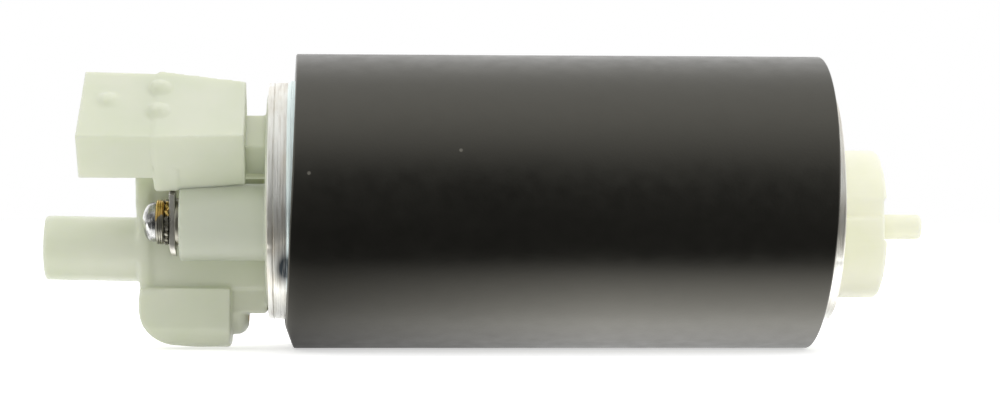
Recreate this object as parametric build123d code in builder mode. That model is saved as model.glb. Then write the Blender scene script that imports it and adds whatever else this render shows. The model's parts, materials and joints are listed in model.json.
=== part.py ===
from build123d import *
import math
import os

# Electric in-tank fuel pump: a turbine pump and its motor in one crimped steel can, with a rubber sleeve
# round the can, a moulded outlet cap at one end and a moulded inlet cover at the other.
# All sizes are millimetres. +X runs along the pump's axis from the outlet to the inlet, +Z is up, and the
# origin is on the axis at the middle of the sleeve.

os.makedirs("parts", exist_ok=True)

# Clearances
seat_gap = 0.05         # between pieces that are assembled and stay put
run_gap = 0.05          # radial, between a shaft and its bush, or a brush and its tube
rest_gap = 0.05         # between faces that press on each other across a joint
slot_gap = 0.1          # round the terminals in their moulding
through_gap = 0.15      # radial, round a shaft where nothing carries it
impeller_gap = 0.2      # radial, from the impeller to the pump ring
face_gap = 0.06         # on each face of the impeller
air_gap = 0.7           # radial, from the armature to the magnets

# Steel can, and how far it stands out of the rubber sleeve at each end
can_length = 90.6
can_r = 19.4
can_wall = 1.2
can_end_step = 0.35
can_left_band = 3.0
can_right_band = 2.0
can_shoulder = 0.6
can_left_stand_out = 3.3
can_right_stand_out = 2.7
lip_thickness = 0.9
lip_reach = 1.0
lip_edge = 0.3
score_depth = 0.15
score_width = 0.25

# Rubber sleeve
sleeve_wall = 4.3
sleeve_lean = 2.3       # degrees by which its ends lean to the right at the top
sleeve_turn = 1.5       # degrees by which its ends turn to the right at the front
sleeve_edge = 0.4

# Outlet cap, inside the can
flange_thickness = 6.0
skirt_length = 9.7
skirt_wall = 2.2
cap_stand_off = 0.3
hub_r = 5.6
hub_reach = 1.0
hub_floor = 1.4
ring_height = 1.4       # section of the seal rings
ring_width = 1.6
ring_groove_inset = 2.2

# Outlet cap, outside the can
plate_reach = 21.3      # from the can to the front plate's outer face
plate_thickness = 2.5
plate_half_width = 5.3
plate_top_z = 5.6
outlet_z = -7.6
outlet_length = 14.5
outlet_r = 5.15
outlet_bore_r = 3.6
outlet_edge = 0.35
web_half_width = 4.6
web_top_z = 3.6
chamber_inset = 0.8       # from the front plate's outer face
chamber_length = 14.5
chamber_top_z = -13.9
chamber_bottom_z = -23.4
chamber_half_width = 6.5
chamber_nose_r = 6.0
chamber_nose_rise = 0.8
chamber_nose_run = 9.0
chamber_side_r = 3.5
foot_bottom_z = -18.0
foot_half_width = 4.2
gallery_r = 2.7

# Check valve in the outlet
valve_seat_inset = 1.3  # from the front plate's outer face
valve_seat_length = 1.5
valve_hole_r = 2.1
valve_bore_r = 3.4
valve_r = 2.7
valve_lip = 1.0
valve_seal = 0.6
seal_inset = 0.2
stem_r = 0.8
stem_edge = 0.25
stem_inset = 0.3        # from the stem's end to the cage's outer face
cage_length = 1.8
cage_rim = 0.7
cage_spoke = 0.8
cage_spokes = 3
cage_hub = 1.4
valve_spring_room = 3.95
valve_spring_r = 2.0
valve_spring_turns = 3

# Relief valve in the chamber
relief_z = -17.3
relief_housing_r = 4.2
relief_stand_out = 2.8
relief_end_rounding = 1.6
relief_bore_r = 2.3
relief_seat_inset = 8.0
relief_seat_length = 0.8
relief_hole_r = 1.2
relief_drop_r = 1.6
relief_ball_r = 2.0
relief_plug_length = 2.0
relief_vent_r = 0.8
relief_spring_r = 1.35
relief_spring_turns = 3

# Brush wells, brushes and what holds them
well_y = 8.8
well_z = 3.4
well_r = 6.1
well_height = 13.8
brush_r = 2.9
brush_length = 9.0
brush_edge = 0.3
tube_wall = 0.7
tube_reach = 1.0
insert_r = 2.4
insert_flange = 1.2
insert_shank = 2.8
spring_room = 0.75      # from the brush's side to the middle of its spring's wire
brush_spring_turns = 3
lead_r = 0.45
wire_r = 0.25

# Connector: its wide face leans this far from level, and its sketches lie square to the pump's axis
lean = 42.0
hood_clearance = 0.34   # from the front brush well
hood_stand_off = 3.8    # from the can
hood_length = 13.5
hood_left_height = 10.65
hood_right_height = 9.84
hood_left_half = 8.0
hood_right_half = 6.55
hood_edge = 0.6
shroud_length = 11.9
shroud_depth = 12.7
shroud_rise = 2.0       # from the hood's inner face to the shroud's
shroud_height = 8.4
shroud_half_width = 7.65
shroud_wall = 1.2
shroud_root = 2.0
neck_drop = 0.7
neck_height = 5.9
neck_half_width = 3.8
neck_socket = 6.0
lock_inset = 4.2
lock_r = 1.45
lock_offset = 1.2       # of the lock and the lugs from the middle of the wide face
lock_height = 0.7
lock_taper = 25
lug_r = 1.7
lug_sink = 0.4
lug_set_back = 0.5
lug_spread = 2.8

# Terminals, washers and screws
blade_spread = 3.0
blade_width = 2.8
blade_thickness = 0.8
blade_length = 9.0
blade_point = 0.27
strap_thickness = 0.9
strap_width = 4.6
strap_tail = 3.1
strap_bend_y = 3.0
strap_bend_z = 10.6
seat_washer_r = 3.75
seat_washer_thickness = 0.7
tooth_washer_r = 3.6
tooth_washer_thickness = 0.9
tooth_count = 10
tooth_length = 0.6
tooth_width = 1.1
split_washer_r = 3.5
split_washer_thickness = 1.15
split_width = 0.5
split_turn = 20
screw_r = 1.5
screw_head_r = 3.2
screw_head_height = 1.95
screw_head_crown = 1.0
screw_head_shoulder = 1.3
screw_length = 6.6
recess_width = 0.9
recess_depth = 1.1
recess_span = 3.4
recess_turn = 25

# Motor
flux_wall = 1.8
flux_split = 1.0
magnet_thickness = 4.5
magnet_end_room = 6.0
magnet_span = 132.0     # degrees that each magnet covers
magnet_edge = 0.4
clip_thickness = 0.4
clip_length = 30.0
clip_leg = 1.93         # from the clip's back to its free ends
clip_side_gap = 1.0
clip_taper = 0.7
clip_corner_r = 1.0
core_end_room = 8.0
core_slots = 8
slot_depth = 5.2
slot_mouth = 1.6
slot_bottom = 4.2
slot_side = 72.0        # degrees between a slot's bottom and its sides
slot_lining = 0.25
tooth_tip = 1.2
turn_overhang = 2.5
turn_lobe_r = 2.6
turn_lobe_sides = 6
shaft_r = 2.0
shaft_edge = 0.3
shaft_end_gap = 0.4
flat_depth = 0.5
flat_lead = 0.3
bush_r = 4.0
bush_length = 5.4
bush_inset = 0.6
lower_bush_inset = 0.8
commutator_inset = 4.5
commutator_margin = 0.27
commutator_inner_margin = 0.63
segment_thickness = 1.6
segment_split = 0.6
base_thickness = 3.8
base_rim = 1.3
base_shoulder_r = 10.1
base_neck_r = 6.9
base_shoulder = 1.9

# Pump
cover_flange = 6.9
inlet_plate_thickness = 6.0
pump_ring_thickness = 3.2
pump_ring_wall = 2.75
outlet_plate_thickness = 7.0
vane_count = 30
vane_depth = 2.2
vane_slot = 1.7
web_thickness = 0.7     # of the web that stands in the middle of the vane slots
web_rim = 0.9
channel_r = 1.3
channel_sides = 6
channel_sweep = 318.0   # degrees of the circle, the rest is the land between the ports
port_r = 1.7
pad_r = 2.5
pad_thickness = 1.4
pad_inset = 2.6
cover_wall = 2.35
inlet_chamber_depth = 2.4

# Inlet cover, outside the can
collar_z = -3.5
collar_r = 12.0
collar_height = 8.2
collar_rim = 1.9
collar_rim_depth = 2.4
collar_edge = 0.4
key_width = 3.0
key_depth = 0.7
key_mid_z = -0.9
inlet_y = 3.0
inlet_bore_r = 5.3
post_y = -6.2
post_z = -3.9
post_r = 2.0
post_stand_out = 6.0
post_edge = 0.4

# Worked out from the sizes above: the can and the rings of parts in it
sleeve_length = can_length - can_left_stand_out - can_right_stand_out
sleeve_r = can_r + seat_gap + sleeve_wall
can_left_x = -sleeve_length / 2 - can_left_stand_out
can_right_x = can_left_x + can_length
can_end_r = can_r - can_end_step
can_bore_r = can_r - can_wall
lip_opening_r = can_bore_r - lip_reach
inside_left_x = can_left_x + lip_thickness
inside_right_x = can_right_x - lip_thickness
fit_r = can_bore_r - seat_gap
spigot_r = lip_opening_r - 2 * seat_gap
groove_r = fit_r - ring_height - seat_gap
magnet_r = fit_r - flux_wall - seat_gap
magnet_bore_r = magnet_r - magnet_thickness
core_r = magnet_bore_r - air_gap
turn_r = core_r - tooth_tip - slot_depth / 2
impeller_r = fit_r - pump_ring_wall - impeller_gap
channel_mid_r = impeller_r - channel_r

# Places along the axis: the cap, the motor and the pump in the can
cap_front_x = can_left_x - cap_stand_off
flange_inner_x = inside_left_x + flange_thickness
skirt_end_x = flange_inner_x + skirt_length
cover_x = inside_right_x - cover_flange
inlet_plate_x = cover_x - inlet_plate_thickness
pump_ring_x = inlet_plate_x - pump_ring_thickness
outlet_plate_x = pump_ring_x - outlet_plate_thickness
motor_mid_x = (skirt_end_x + outlet_plate_x) / 2
motor_length = outlet_plate_x - skirt_end_x
magnet_length = motor_length - 2 * magnet_end_room
core_length = motor_length - 2 * core_end_room
hub_pocket_x = cap_front_x + hub_floor
shaft_left_x = hub_pocket_x + shaft_end_gap
bush_left_x = shaft_left_x + bush_inset
lower_bush_x = outlet_plate_x + lower_bush_inset
pad_x = inlet_plate_x + pad_inset
shaft_right_x = pad_x - rest_gap
cover_front_x = can_right_x + cap_stand_off
collar_end_x = can_right_x + collar_height
floor_x = collar_end_x - collar_rim_depth
post_tip_x = collar_end_x + post_stand_out

# Places along the axis: the fuel body in front of the can
plate_x = can_left_x - plate_reach
outlet_tip_x = plate_x - outlet_length
chamber_left_x = plate_x + chamber_inset
chamber_right_x = chamber_left_x + chamber_length
valve_seat_x = plate_x + valve_seat_inset
gallery_x = valve_seat_x + valve_seat_length
seal_x = valve_seat_x - rest_gap - valve_seal
lip_x = seal_x - valve_lip
cage_right_x = lip_x - valve_spring_room
cage_x = cage_right_x - cage_length
stem_length = valve_spring_room + cage_length - stem_inset
relief_end_x = chamber_right_x + relief_stand_out
relief_seat_x = plate_x + relief_seat_inset
relief_drop_x = relief_seat_x - relief_seat_length - relief_drop_r

# Brush wells and commutator
well_end_x = can_left_x - well_height
well_reach = math.hypot(well_y, well_z)
commutator_r = well_reach + brush_r + commutator_margin
commutator_bore_r = well_reach - brush_r - commutator_inner_margin
commutator_x = skirt_end_x - commutator_inset
brush_face_x = commutator_x - rest_gap
brush_back_x = brush_face_x - brush_length
brush_spring_r = brush_r - spring_room
tube_bore_r = brush_r + run_gap
tube_r = tube_bore_r + tube_wall
insert_x = well_end_x + insert_shank
insert_face_x = insert_x + insert_flange
strap_x = well_end_x - seat_washer_thickness - strap_thickness

# Connector, along the axis and outwards from it
lean_cos = math.cos(math.radians(lean))
lean_sin = math.sin(math.radians(lean))
hood_right_x = can_left_x - hood_stand_off
hood_left_x = hood_right_x - hood_length
shroud_tip_x = hood_left_x - shroud_length
shroud_floor_x = shroud_tip_x + shroud_depth
lock_x = shroud_tip_x + lock_inset
well_top_n = well_y * lean_sin - well_z * lean_cos + well_r
hood_inner_n = well_top_n + hood_clearance
hood_left_n = hood_inner_n + hood_left_height
hood_right_n = hood_inner_n + hood_right_height
shroud_inner_n = hood_inner_n + shroud_rise
shroud_outer_n = shroud_inner_n + shroud_height
shroud_mid_n = (shroud_outer_n + shroud_inner_n) / 2
neck_inner_n = hood_inner_n - neck_drop
neck_outer_n = neck_inner_n + neck_height


def across(x, y=0.0, z=0.0):
    """Plane square to the pump's axis at x, whose sketch axes run along +Y and +Z."""
    return Plane(origin=(x, y, z), x_dir=(0, 1, 0), z_dir=(1, 0, 0))


def leaning(x):
    """Plane square to the axis at x, whose sketch axes run along the connector's width and outwards."""
    return Plane(origin=(x, 0, 0), x_dir=(0, lean_cos, lean_sin), z_dir=(1, 0, 0))


def on_lean(a, n):
    """Y and Z of the point a along the connector's width and n outwards from the axis."""
    return (a * lean_cos - n * lean_sin, a * lean_sin + n * lean_cos)


def strap_route(side):
    """Points of a terminal strap, from its blade to its tail below the screw, as Y and Z."""
    y, z = -side * well_y, -side * well_z
    root = on_lean(-side * blade_spread, shroud_mid_n)
    if side > 0:
        return [root, (y, z), (y, z - strap_tail)]
    return [root, (strap_bend_y, strap_bend_z), (y, z), (y, z - strap_tail)]


def draw_strap(route, width):
    """Rounded bars between the points of a route, in the sketch that is open."""
    for (y0, z0), (y1, z1) in zip(route, route[1:]):
        span = math.hypot(y1 - y0, z1 - z0)
        with Locations(((y0 + y1) / 2, (z0 + z1) / 2)):
            SlotCenterToCenter(span, width, rotation=math.degrees(math.atan2(z1 - z0, y1 - y0)))


def coil(x0, x1, radius, turns, y=0.0, z=0.0):
    """Helical spring of square wire that spans x0 to x1 about an axis along X."""
    start = x0 + wire_r
    height = x1 - x0 - 2 * wire_r
    with BuildPart() as spring:
        with BuildLine():
            line = Helix(height / turns, height, radius, center=(start, y, z), direction=(1, 0, 0))
        with BuildSketch(Plane(origin=line @ 0, z_dir=line % 0)):
            Rectangle(2 * wire_r, 2 * wire_r)
        sweep(is_frenet=True)
    return spring


# Rubber sleeve, whose ends lean a little because it is pushed on by hand
skew_normal = (1, math.tan(math.radians(sleeve_turn)), -math.tan(math.radians(sleeve_lean)))
with BuildPart() as isolator_sleeve:
    with BuildSketch(across(-sleeve_length)):
        Circle(sleeve_r)
        Circle(can_r + seat_gap, mode=Mode.SUBTRACT)
    extrude(amount=2 * sleeve_length)
    split(bisect_by=Plane(origin=(-sleeve_length / 2, 0, 0), z_dir=skew_normal), keep=Keep.TOP)
    split(bisect_by=Plane(origin=(sleeve_length / 2, 0, 0), z_dir=skew_normal), keep=Keep.BOTTOM)
    rims = isolator_sleeve.edges().filter_by(GeomType.ELLIPSE).group_by(SortBy.LENGTH)[-1]
    chamfer(rims, sleeve_edge)
isolator_sleeve.part.label = "isolator_sleeve"
export_step(isolator_sleeve.part, "parts/isolator_sleeve.step")


# Steel can, turned down at both ends and rolled over the two mouldings
score_x = inside_left_x
with BuildPart() as motor_can:
    with BuildSketch(Plane.XZ):
        with BuildLine():
            Polyline(
                (can_left_x, lip_opening_r),
                (can_left_x, can_end_r),
                (score_x, can_end_r),
                (score_x + score_width / 2, can_end_r - score_depth),
                (score_x + score_width, can_end_r),
                (can_left_x + can_left_band, can_end_r),
                (can_left_x + can_left_band + can_shoulder, can_r),
                (can_right_x - can_right_band - can_shoulder, can_r),
                (can_right_x - can_right_band, can_end_r),
                (can_right_x, can_end_r),
                (can_right_x, lip_opening_r),
                (inside_right_x, lip_opening_r),
                (inside_right_x, can_bore_r),
                (inside_left_x, can_bore_r),
                (inside_left_x, lip_opening_r),
                close=True,
            )
        make_face()
    revolve(axis=Axis.X)
    hoops = motor_can.edges().filter_by(GeomType.CIRCLE)
    left_rim = hoops.group_by(Axis.X)[0].sort_by(SortBy.RADIUS)[-1]
    right_rim = hoops.group_by(Axis.X)[-1].sort_by(SortBy.RADIUS)[-1]
    chamfer([left_rim, right_rim], lip_edge)
motor_can.part.label = "motor_can"
export_step(motor_can.part, "parts/motor_can.step")


# Pressure chamber under the outlet: a block with a round nose and round lower sides
with BuildPart() as chamber:
    with BuildSketch(Plane.XZ):
        with BuildLine():
            FilletPolyline(
                (chamber_right_x, chamber_top_z),
                (chamber_left_x, chamber_top_z),
                (chamber_left_x, chamber_bottom_z + chamber_nose_rise),
                (chamber_left_x + chamber_nose_run, chamber_bottom_z),
                (chamber_right_x, chamber_bottom_z),
                radius=[0, 0, chamber_nose_r, chamber_nose_r, 0],
                close=True,
            )
        make_face()
    extrude(amount=chamber_half_width, both=True)
    with BuildSketch(across(chamber_left_x)) as section:
        with Locations((0, chamber_top_z)):
            Rectangle(
                2 * chamber_half_width,
                chamber_top_z - chamber_bottom_z,
                align=(Align.CENTER, Align.MAX),
            )
        fillet(section.vertices().group_by(Axis.Y)[0], chamber_side_r)
    extrude(amount=chamber_length, mode=Mode.INTERSECT)

# Outlet cap: flange, skirt and bush hub turned in one, then the fuel body, the brush wells and the neck
groove_x = inside_left_x + ring_groove_inset
groove_half = ring_width / 2 + seat_gap
with BuildPart() as outlet_cap:
    with BuildSketch(Plane.XZ):
        with BuildLine():
            Polyline(
                (cap_front_x, 0),
                (cap_front_x, spigot_r),
                (inside_left_x, spigot_r),
                (inside_left_x, fit_r),
                (groove_x - groove_half, fit_r),
                (groove_x - groove_half, groove_r),
                (groove_x + groove_half, groove_r),
                (groove_x + groove_half, fit_r),
                (skirt_end_x, fit_r),
                (skirt_end_x, fit_r - skirt_wall),
                (flange_inner_x, fit_r - skirt_wall),
                (flange_inner_x, hub_r),
                (flange_inner_x + hub_reach, hub_r),
                (flange_inner_x + hub_reach, bush_r + seat_gap),
                (bush_left_x, bush_r + seat_gap),
                (bush_left_x, shaft_r + through_gap),
                (hub_pocket_x, shaft_r + through_gap),
                (hub_pocket_x, 0),
                close=True,
            )
        make_face()
    revolve(axis=Axis.X)
    add(chamber.part)
    # Front plate with a round top, and the web that carries it back to the flange
    with BuildSketch(across(plate_x)):
        with Locations((0, (plate_top_z + chamber_top_z) / 2 - plate_half_width / 2)):
            Rectangle(2 * plate_half_width, plate_top_z - chamber_top_z - plate_half_width)
        with Locations((0, plate_top_z - plate_half_width)):
            Circle(plate_half_width)
    extrude(amount=plate_thickness)
    with BuildSketch(across(plate_x + plate_thickness)):
        with Locations((0, web_top_z)):
            Rectangle(
                2 * web_half_width,
                web_top_z - chamber_top_z,
                align=(Align.CENTER, Align.MAX),
            )
    extrude(amount=cap_front_x - plate_x - plate_thickness)
    with BuildSketch(across(chamber_right_x)):
        with Locations((0, chamber_top_z)):
            Rectangle(
                2 * foot_half_width,
                chamber_top_z - foot_bottom_z,
                align=(Align.CENTER, Align.MAX),
            )
    extrude(amount=cap_front_x - chamber_right_x)
    # Relief valve housing, round, standing out behind the chamber
    with BuildSketch(across(chamber_right_x, 0, relief_z)):
        Circle(relief_housing_r)
    extrude(amount=relief_end_x - chamber_right_x)
    tail = outlet_cap.edges().filter_by(GeomType.CIRCLE).filter_by_position(
        Axis.X, relief_end_x - seat_gap, relief_end_x + seat_gap
    )
    fillet(tail, relief_end_rounding)
    # Outlet tube
    with BuildSketch(across(outlet_tip_x, 0, outlet_z)):
        Circle(outlet_r)
    extrude(amount=plate_x - outlet_tip_x + plate_thickness)
    chamfer(outlet_cap.edges().group_by(Axis.X)[0], outlet_edge)
    # Brush wells, one each side of the web
    for side in (1, -1):
        with BuildSketch(across(well_end_x, -side * well_y, -side * well_z)):
            Circle(well_r)
        extrude(amount=cap_front_x - well_end_x)
    # Neck that the connector sits on
    with BuildSketch(leaning(hood_right_x - neck_socket)):
        with Locations((0, (neck_inner_n + neck_outer_n) / 2)):
            Rectangle(2 * neck_half_width, neck_outer_n - neck_inner_n)
    extrude(amount=cap_front_x - hood_right_x + neck_socket)
    # Bores of the brush wells, with the smaller hole for the screw's insert
    for side in (1, -1):
        with BuildSketch(across(insert_x, -side * well_y, -side * well_z)):
            Circle(tube_r + seat_gap)
        extrude(amount=skirt_end_x - insert_x, mode=Mode.SUBTRACT)
        with BuildSketch(across(well_end_x, -side * well_y, -side * well_z)):
            Circle(insert_r + seat_gap)
        extrude(amount=insert_shank, mode=Mode.SUBTRACT)
    # Fuel's way out: gallery from the motor, valve seat, valve bore, and the wider bore of the tube
    with BuildSketch(across(gallery_x, 0, outlet_z)):
        Circle(gallery_r)
    extrude(amount=skirt_end_x - gallery_x, mode=Mode.SUBTRACT)
    with BuildSketch(across(valve_seat_x, 0, outlet_z)):
        Circle(valve_hole_r)
    extrude(amount=valve_seat_length, mode=Mode.SUBTRACT)
    with BuildSketch(across(cage_x, 0, outlet_z)):
        Circle(valve_bore_r)
    extrude(amount=valve_seat_x - cage_x, mode=Mode.SUBTRACT)
    with BuildSketch(across(outlet_tip_x, 0, outlet_z)):
        Circle(outlet_bore_r)
    extrude(amount=cage_x - outlet_tip_x, mode=Mode.SUBTRACT)
    # Relief way: drop from the gallery, seat hole, bore for the ball and its spring
    with BuildSketch(Plane.XY.offset(outlet_z)):
        with Locations((relief_drop_x, 0)):
            Circle(relief_drop_r)
    extrude(amount=relief_z - outlet_z, mode=Mode.SUBTRACT)
    with BuildSketch(across(relief_drop_x, 0, relief_z)):
        Circle(relief_hole_r)
    extrude(amount=relief_seat_x - relief_drop_x, mode=Mode.SUBTRACT)
    with BuildSketch(across(relief_seat_x, 0, relief_z)):
        Circle(relief_bore_r)
    extrude(amount=relief_end_x - relief_seat_x, mode=Mode.SUBTRACT)
outlet_cap.part.label = "outlet_cap"
export_step(outlet_cap.part, "parts/outlet_cap.step")


# Two half domes that stand against the connector's hood
with BuildPart() as lugs:
    for a in (lock_offset - lug_spread, lock_offset + lug_spread):
        with Locations((hood_left_x + lug_set_back, *on_lean(a, shroud_outer_n - lug_sink))):
            Sphere(lug_r)

# Connector: open shroud for the harness plug, in front of a hood that tapers back to the neck
with BuildPart() as connector_housing:
    with BuildSketch(leaning(hood_left_x)):
        with Locations((0, (hood_left_n + hood_inner_n) / 2)):
            Rectangle(2 * hood_left_half, hood_left_n - hood_inner_n)
    with BuildSketch(leaning(hood_right_x)):
        with Locations((0, (hood_right_n + hood_inner_n) / 2)):
            Rectangle(2 * hood_right_half, hood_right_n - hood_inner_n)
    loft()
    fillet(connector_housing.edges().group_by(Axis.X)[0], hood_edge)
    with BuildSketch(leaning(shroud_tip_x)):
        with Locations((0, shroud_mid_n)):
            Rectangle(2 * shroud_half_width, shroud_outer_n - shroud_inner_n)
    extrude(amount=hood_left_x + shroud_root - shroud_tip_x)
    # Lock ramp on the wide face, and two half domes against the hood
    lock_root = (lock_x, *on_lean(lock_offset, shroud_outer_n))
    with BuildSketch(Plane(origin=lock_root, z_dir=(0, -lean_sin, lean_cos))):
        Circle(lock_r)
    extrude(amount=lock_height, taper=lock_taper)
    add(lugs.part)
    # Socket for the plug, and socket for the neck
    with BuildSketch(leaning(shroud_tip_x)):
        with Locations((0, shroud_mid_n)):
            Rectangle(
                2 * (shroud_half_width - shroud_wall),
                shroud_outer_n - shroud_inner_n - 2 * shroud_wall,
            )
    extrude(amount=shroud_floor_x - shroud_tip_x, mode=Mode.SUBTRACT)
    with BuildSketch(leaning(hood_right_x - neck_socket - seat_gap)):
        with Locations((0, (neck_inner_n + neck_outer_n) / 2)):
            Rectangle(
                2 * (neck_half_width + seat_gap),
                neck_outer_n - neck_inner_n + 2 * seat_gap,
            )
    extrude(amount=neck_socket + 2 * seat_gap, mode=Mode.SUBTRACT)
    # Slots that the terminals are moulded into
    for side in (1, -1):
        with BuildSketch(across(strap_x - slot_gap)):
            draw_strap(strap_route(side), strap_width + 2 * slot_gap)
        extrude(amount=strap_thickness + 2 * slot_gap, mode=Mode.SUBTRACT)
        with BuildSketch(leaning(shroud_floor_x)):
            with Locations((-side * blade_spread, shroud_mid_n)):
                Rectangle(blade_width + 2 * slot_gap, blade_thickness + 2 * slot_gap)
        extrude(amount=strap_x - shroud_floor_x, mode=Mode.SUBTRACT)
connector_housing.part.label = "connector_housing"
export_step(connector_housing.part, "parts/connector_housing.step")


# Electric way in, once for each brush: terminal, screw and washers, insert, tube, brush, spring and lead
for name, side in (("front", 1), ("rear", -1)):
    well = (-side * well_y, -side * well_z)

    with BuildPart() as terminal:
        with BuildSketch(across(strap_x)):
            draw_strap(strap_route(side), strap_width)
            with Locations(well):
                Circle(screw_r + slot_gap, mode=Mode.SUBTRACT)
        extrude(amount=strap_thickness)
        with BuildSketch(leaning(strap_x - blade_length)):
            with Locations((-side * blade_spread, shroud_mid_n)):
                Rectangle(blade_width, blade_thickness)
        extrude(amount=blade_length)
        tip = terminal.edges().group_by(Axis.X)[0]
        chamfer(tip.filter_by(lambda e: e.length > 2 * blade_thickness), blade_point)
    terminal.part.label = f"{name}_terminal"
    export_step(terminal.part, f"parts/{name}_terminal.step")

    with BuildPart() as seat_washer:
        with BuildSketch(across(strap_x + strap_thickness, *well)):
            Circle(seat_washer_r)
            Circle(screw_r + slot_gap, mode=Mode.SUBTRACT)
        extrude(amount=seat_washer_thickness)
    seat_washer.part.label = f"{name}_seat_washer"
    export_step(seat_washer.part, f"parts/{name}_seat_washer.step")

    # Washer with teeth round its rim, against the terminal
    tooth_x = strap_x - tooth_washer_thickness
    with BuildPart() as toothed_washer:
        with BuildSketch(across(tooth_x, *well)):
            Circle(tooth_washer_r - tooth_length)
            with PolarLocations(tooth_washer_r - tooth_length, tooth_count):
                Rectangle(2 * tooth_length, tooth_width)
            Circle(screw_r + slot_gap, mode=Mode.SUBTRACT)
        extrude(amount=tooth_washer_thickness)
    toothed_washer.part.label = f"{name}_toothed_washer"
    export_step(toothed_washer.part, f"parts/{name}_toothed_washer.step")

    # Spring washer, split on its upper side
    split_x = tooth_x - split_washer_thickness
    with BuildPart() as spring_washer:
        with BuildSketch(across(split_x, *well)):
            Circle(split_washer_r)
            Circle(screw_r + slot_gap, mode=Mode.SUBTRACT)
            with Locations((0, split_washer_r)):
                Rectangle(
                    split_width,
                    2 * (split_washer_r - screw_r),
                    rotation=split_turn,
                    mode=Mode.SUBTRACT,
                )
        extrude(amount=split_washer_thickness)
    spring_washer.part.label = f"{name}_spring_washer"
    export_step(spring_washer.part, f"parts/{name}_spring_washer.step")

    # Pan-head screw with a cross recess
    head_x = split_x - screw_head_height
    with BuildPart() as screw:
        with BuildSketch(across(head_x, *well)):
            Circle(screw_head_r)
        extrude(amount=screw_head_height)
        chamfer(screw.edges().group_by(Axis.X)[0], screw_head_crown, screw_head_shoulder)
        with BuildSketch(across(split_x, *well)):
            Circle(screw_r)
        extrude(amount=screw_length)
        with BuildSketch(across(head_x, *well)):
            Rectangle(recess_span, recess_width, rotation=recess_turn)
            Rectangle(recess_width, recess_span, rotation=recess_turn)
        extrude(amount=recess_depth, mode=Mode.SUBTRACT)
    screw.part.label = f"{name}_terminal_screw"
    export_step(screw.part, f"parts/{name}_terminal_screw.step")

    with BuildPart() as insert:
        with BuildSketch(across(well_end_x, *well)):
            Circle(insert_r)
        extrude(amount=insert_shank)
        with BuildSketch(across(insert_x, *well)):
            Circle(tube_r)
        extrude(amount=insert_flange)
        with BuildSketch(across(well_end_x, *well)):
            Circle(screw_r + seat_gap)
        extrude(amount=insert_shank + insert_flange, mode=Mode.SUBTRACT)
    insert.part.label = f"{name}_terminal_insert"
    export_step(insert.part, f"parts/{name}_terminal_insert.step")

    with BuildPart() as brush_tube:
        with BuildSketch(across(insert_face_x, *well)):
            Circle(tube_r)
            Circle(tube_bore_r, mode=Mode.SUBTRACT)
        extrude(amount=flange_inner_x + tube_reach - insert_face_x)
    brush_tube.part.label = f"{name}_brush_tube"
    export_step(brush_tube.part, f"parts/{name}_brush_tube.step")

    with BuildPart() as brush:
        with BuildSketch(across(brush_back_x, *well)):
            Circle(brush_r)
        extrude(amount=brush_length)
        chamfer(brush.edges().group_by(Axis.X)[0], brush_edge)
    brush.part.label = f"{name}_brush"
    export_step(brush.part, f"parts/{name}_brush.step")

    brush_spring = coil(insert_face_x, brush_back_x, brush_spring_r, brush_spring_turns, *well)
    brush_spring.part.label = f"{name}_brush_spring"
    export_step(brush_spring.part, f"parts/{name}_brush_spring.step")

    with BuildPart() as brush_lead:
        with BuildSketch(across(insert_face_x, *well)):
            Circle(lead_r)
        extrude(amount=brush_back_x - insert_face_x)
    brush_lead.part.label = f"{name}_brush_lead"
    export_step(brush_lead.part, f"parts/{name}_brush_lead.step")


# Check valve in the outlet: poppet with a rubber seal, its spring, and the cage that guides its stem
with BuildPart() as check_valve_seal:
    with BuildSketch(across(seal_x, 0, outlet_z)):
        Circle(valve_r - seal_inset)
    extrude(amount=valve_seal)
check_valve_seal.part.label = "check_valve_seal"
export_step(check_valve_seal.part, "parts/check_valve_seal.step")

with BuildPart() as check_valve_poppet:
    with BuildSketch(across(lip_x, 0, outlet_z)):
        Circle(valve_r)
    extrude(amount=valve_lip)
    with BuildSketch(across(lip_x - stem_length, 0, outlet_z)):
        Circle(stem_r)
    extrude(amount=stem_length)
    chamfer(check_valve_poppet.edges().group_by(Axis.X)[0], stem_edge)
check_valve_poppet.part.label = "check_valve_poppet"
export_step(check_valve_poppet.part, "parts/check_valve_poppet.step")

with BuildPart() as check_valve_cage:
    with BuildSketch(across(cage_x, 0, outlet_z)):
        Circle(valve_bore_r - seat_gap)
        Circle(valve_bore_r - seat_gap - cage_rim, mode=Mode.SUBTRACT)
        with PolarLocations(0, cage_spokes):
            with Locations((valve_bore_r / 2, 0)):
                Rectangle(valve_bore_r - cage_rim / 2, cage_spoke)
        Circle(stem_r + cage_hub)
        Circle(stem_r + 2 * run_gap, mode=Mode.SUBTRACT)
    extrude(amount=cage_length)
check_valve_cage.part.label = "check_valve_cage"
export_step(check_valve_cage.part, "parts/check_valve_cage.step")

check_valve_spring = coil(cage_right_x, lip_x, valve_spring_r, valve_spring_turns, 0, outlet_z)
check_valve_spring.part.label = "check_valve_spring"
export_step(check_valve_spring.part, "parts/check_valve_spring.step")


# Relief valve in its housing: ball on its seat, spring, and the vented plug
ball_x = relief_seat_x + math.sqrt(relief_ball_r**2 - relief_hole_r**2) + rest_gap
with BuildPart() as relief_ball:
    with BuildSketch(Plane.XZ):
        with Locations((ball_x, relief_z)):
            Circle(relief_ball_r)
            Rectangle(2 * relief_ball_r, relief_ball_r, align=(Align.CENTER, Align.MAX), mode=Mode.SUBTRACT)
    revolve(axis=Axis((0, 0, relief_z), (1, 0, 0)))
relief_ball.part.label = "relief_ball"
export_step(relief_ball.part, "parts/relief_ball.step")

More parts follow.
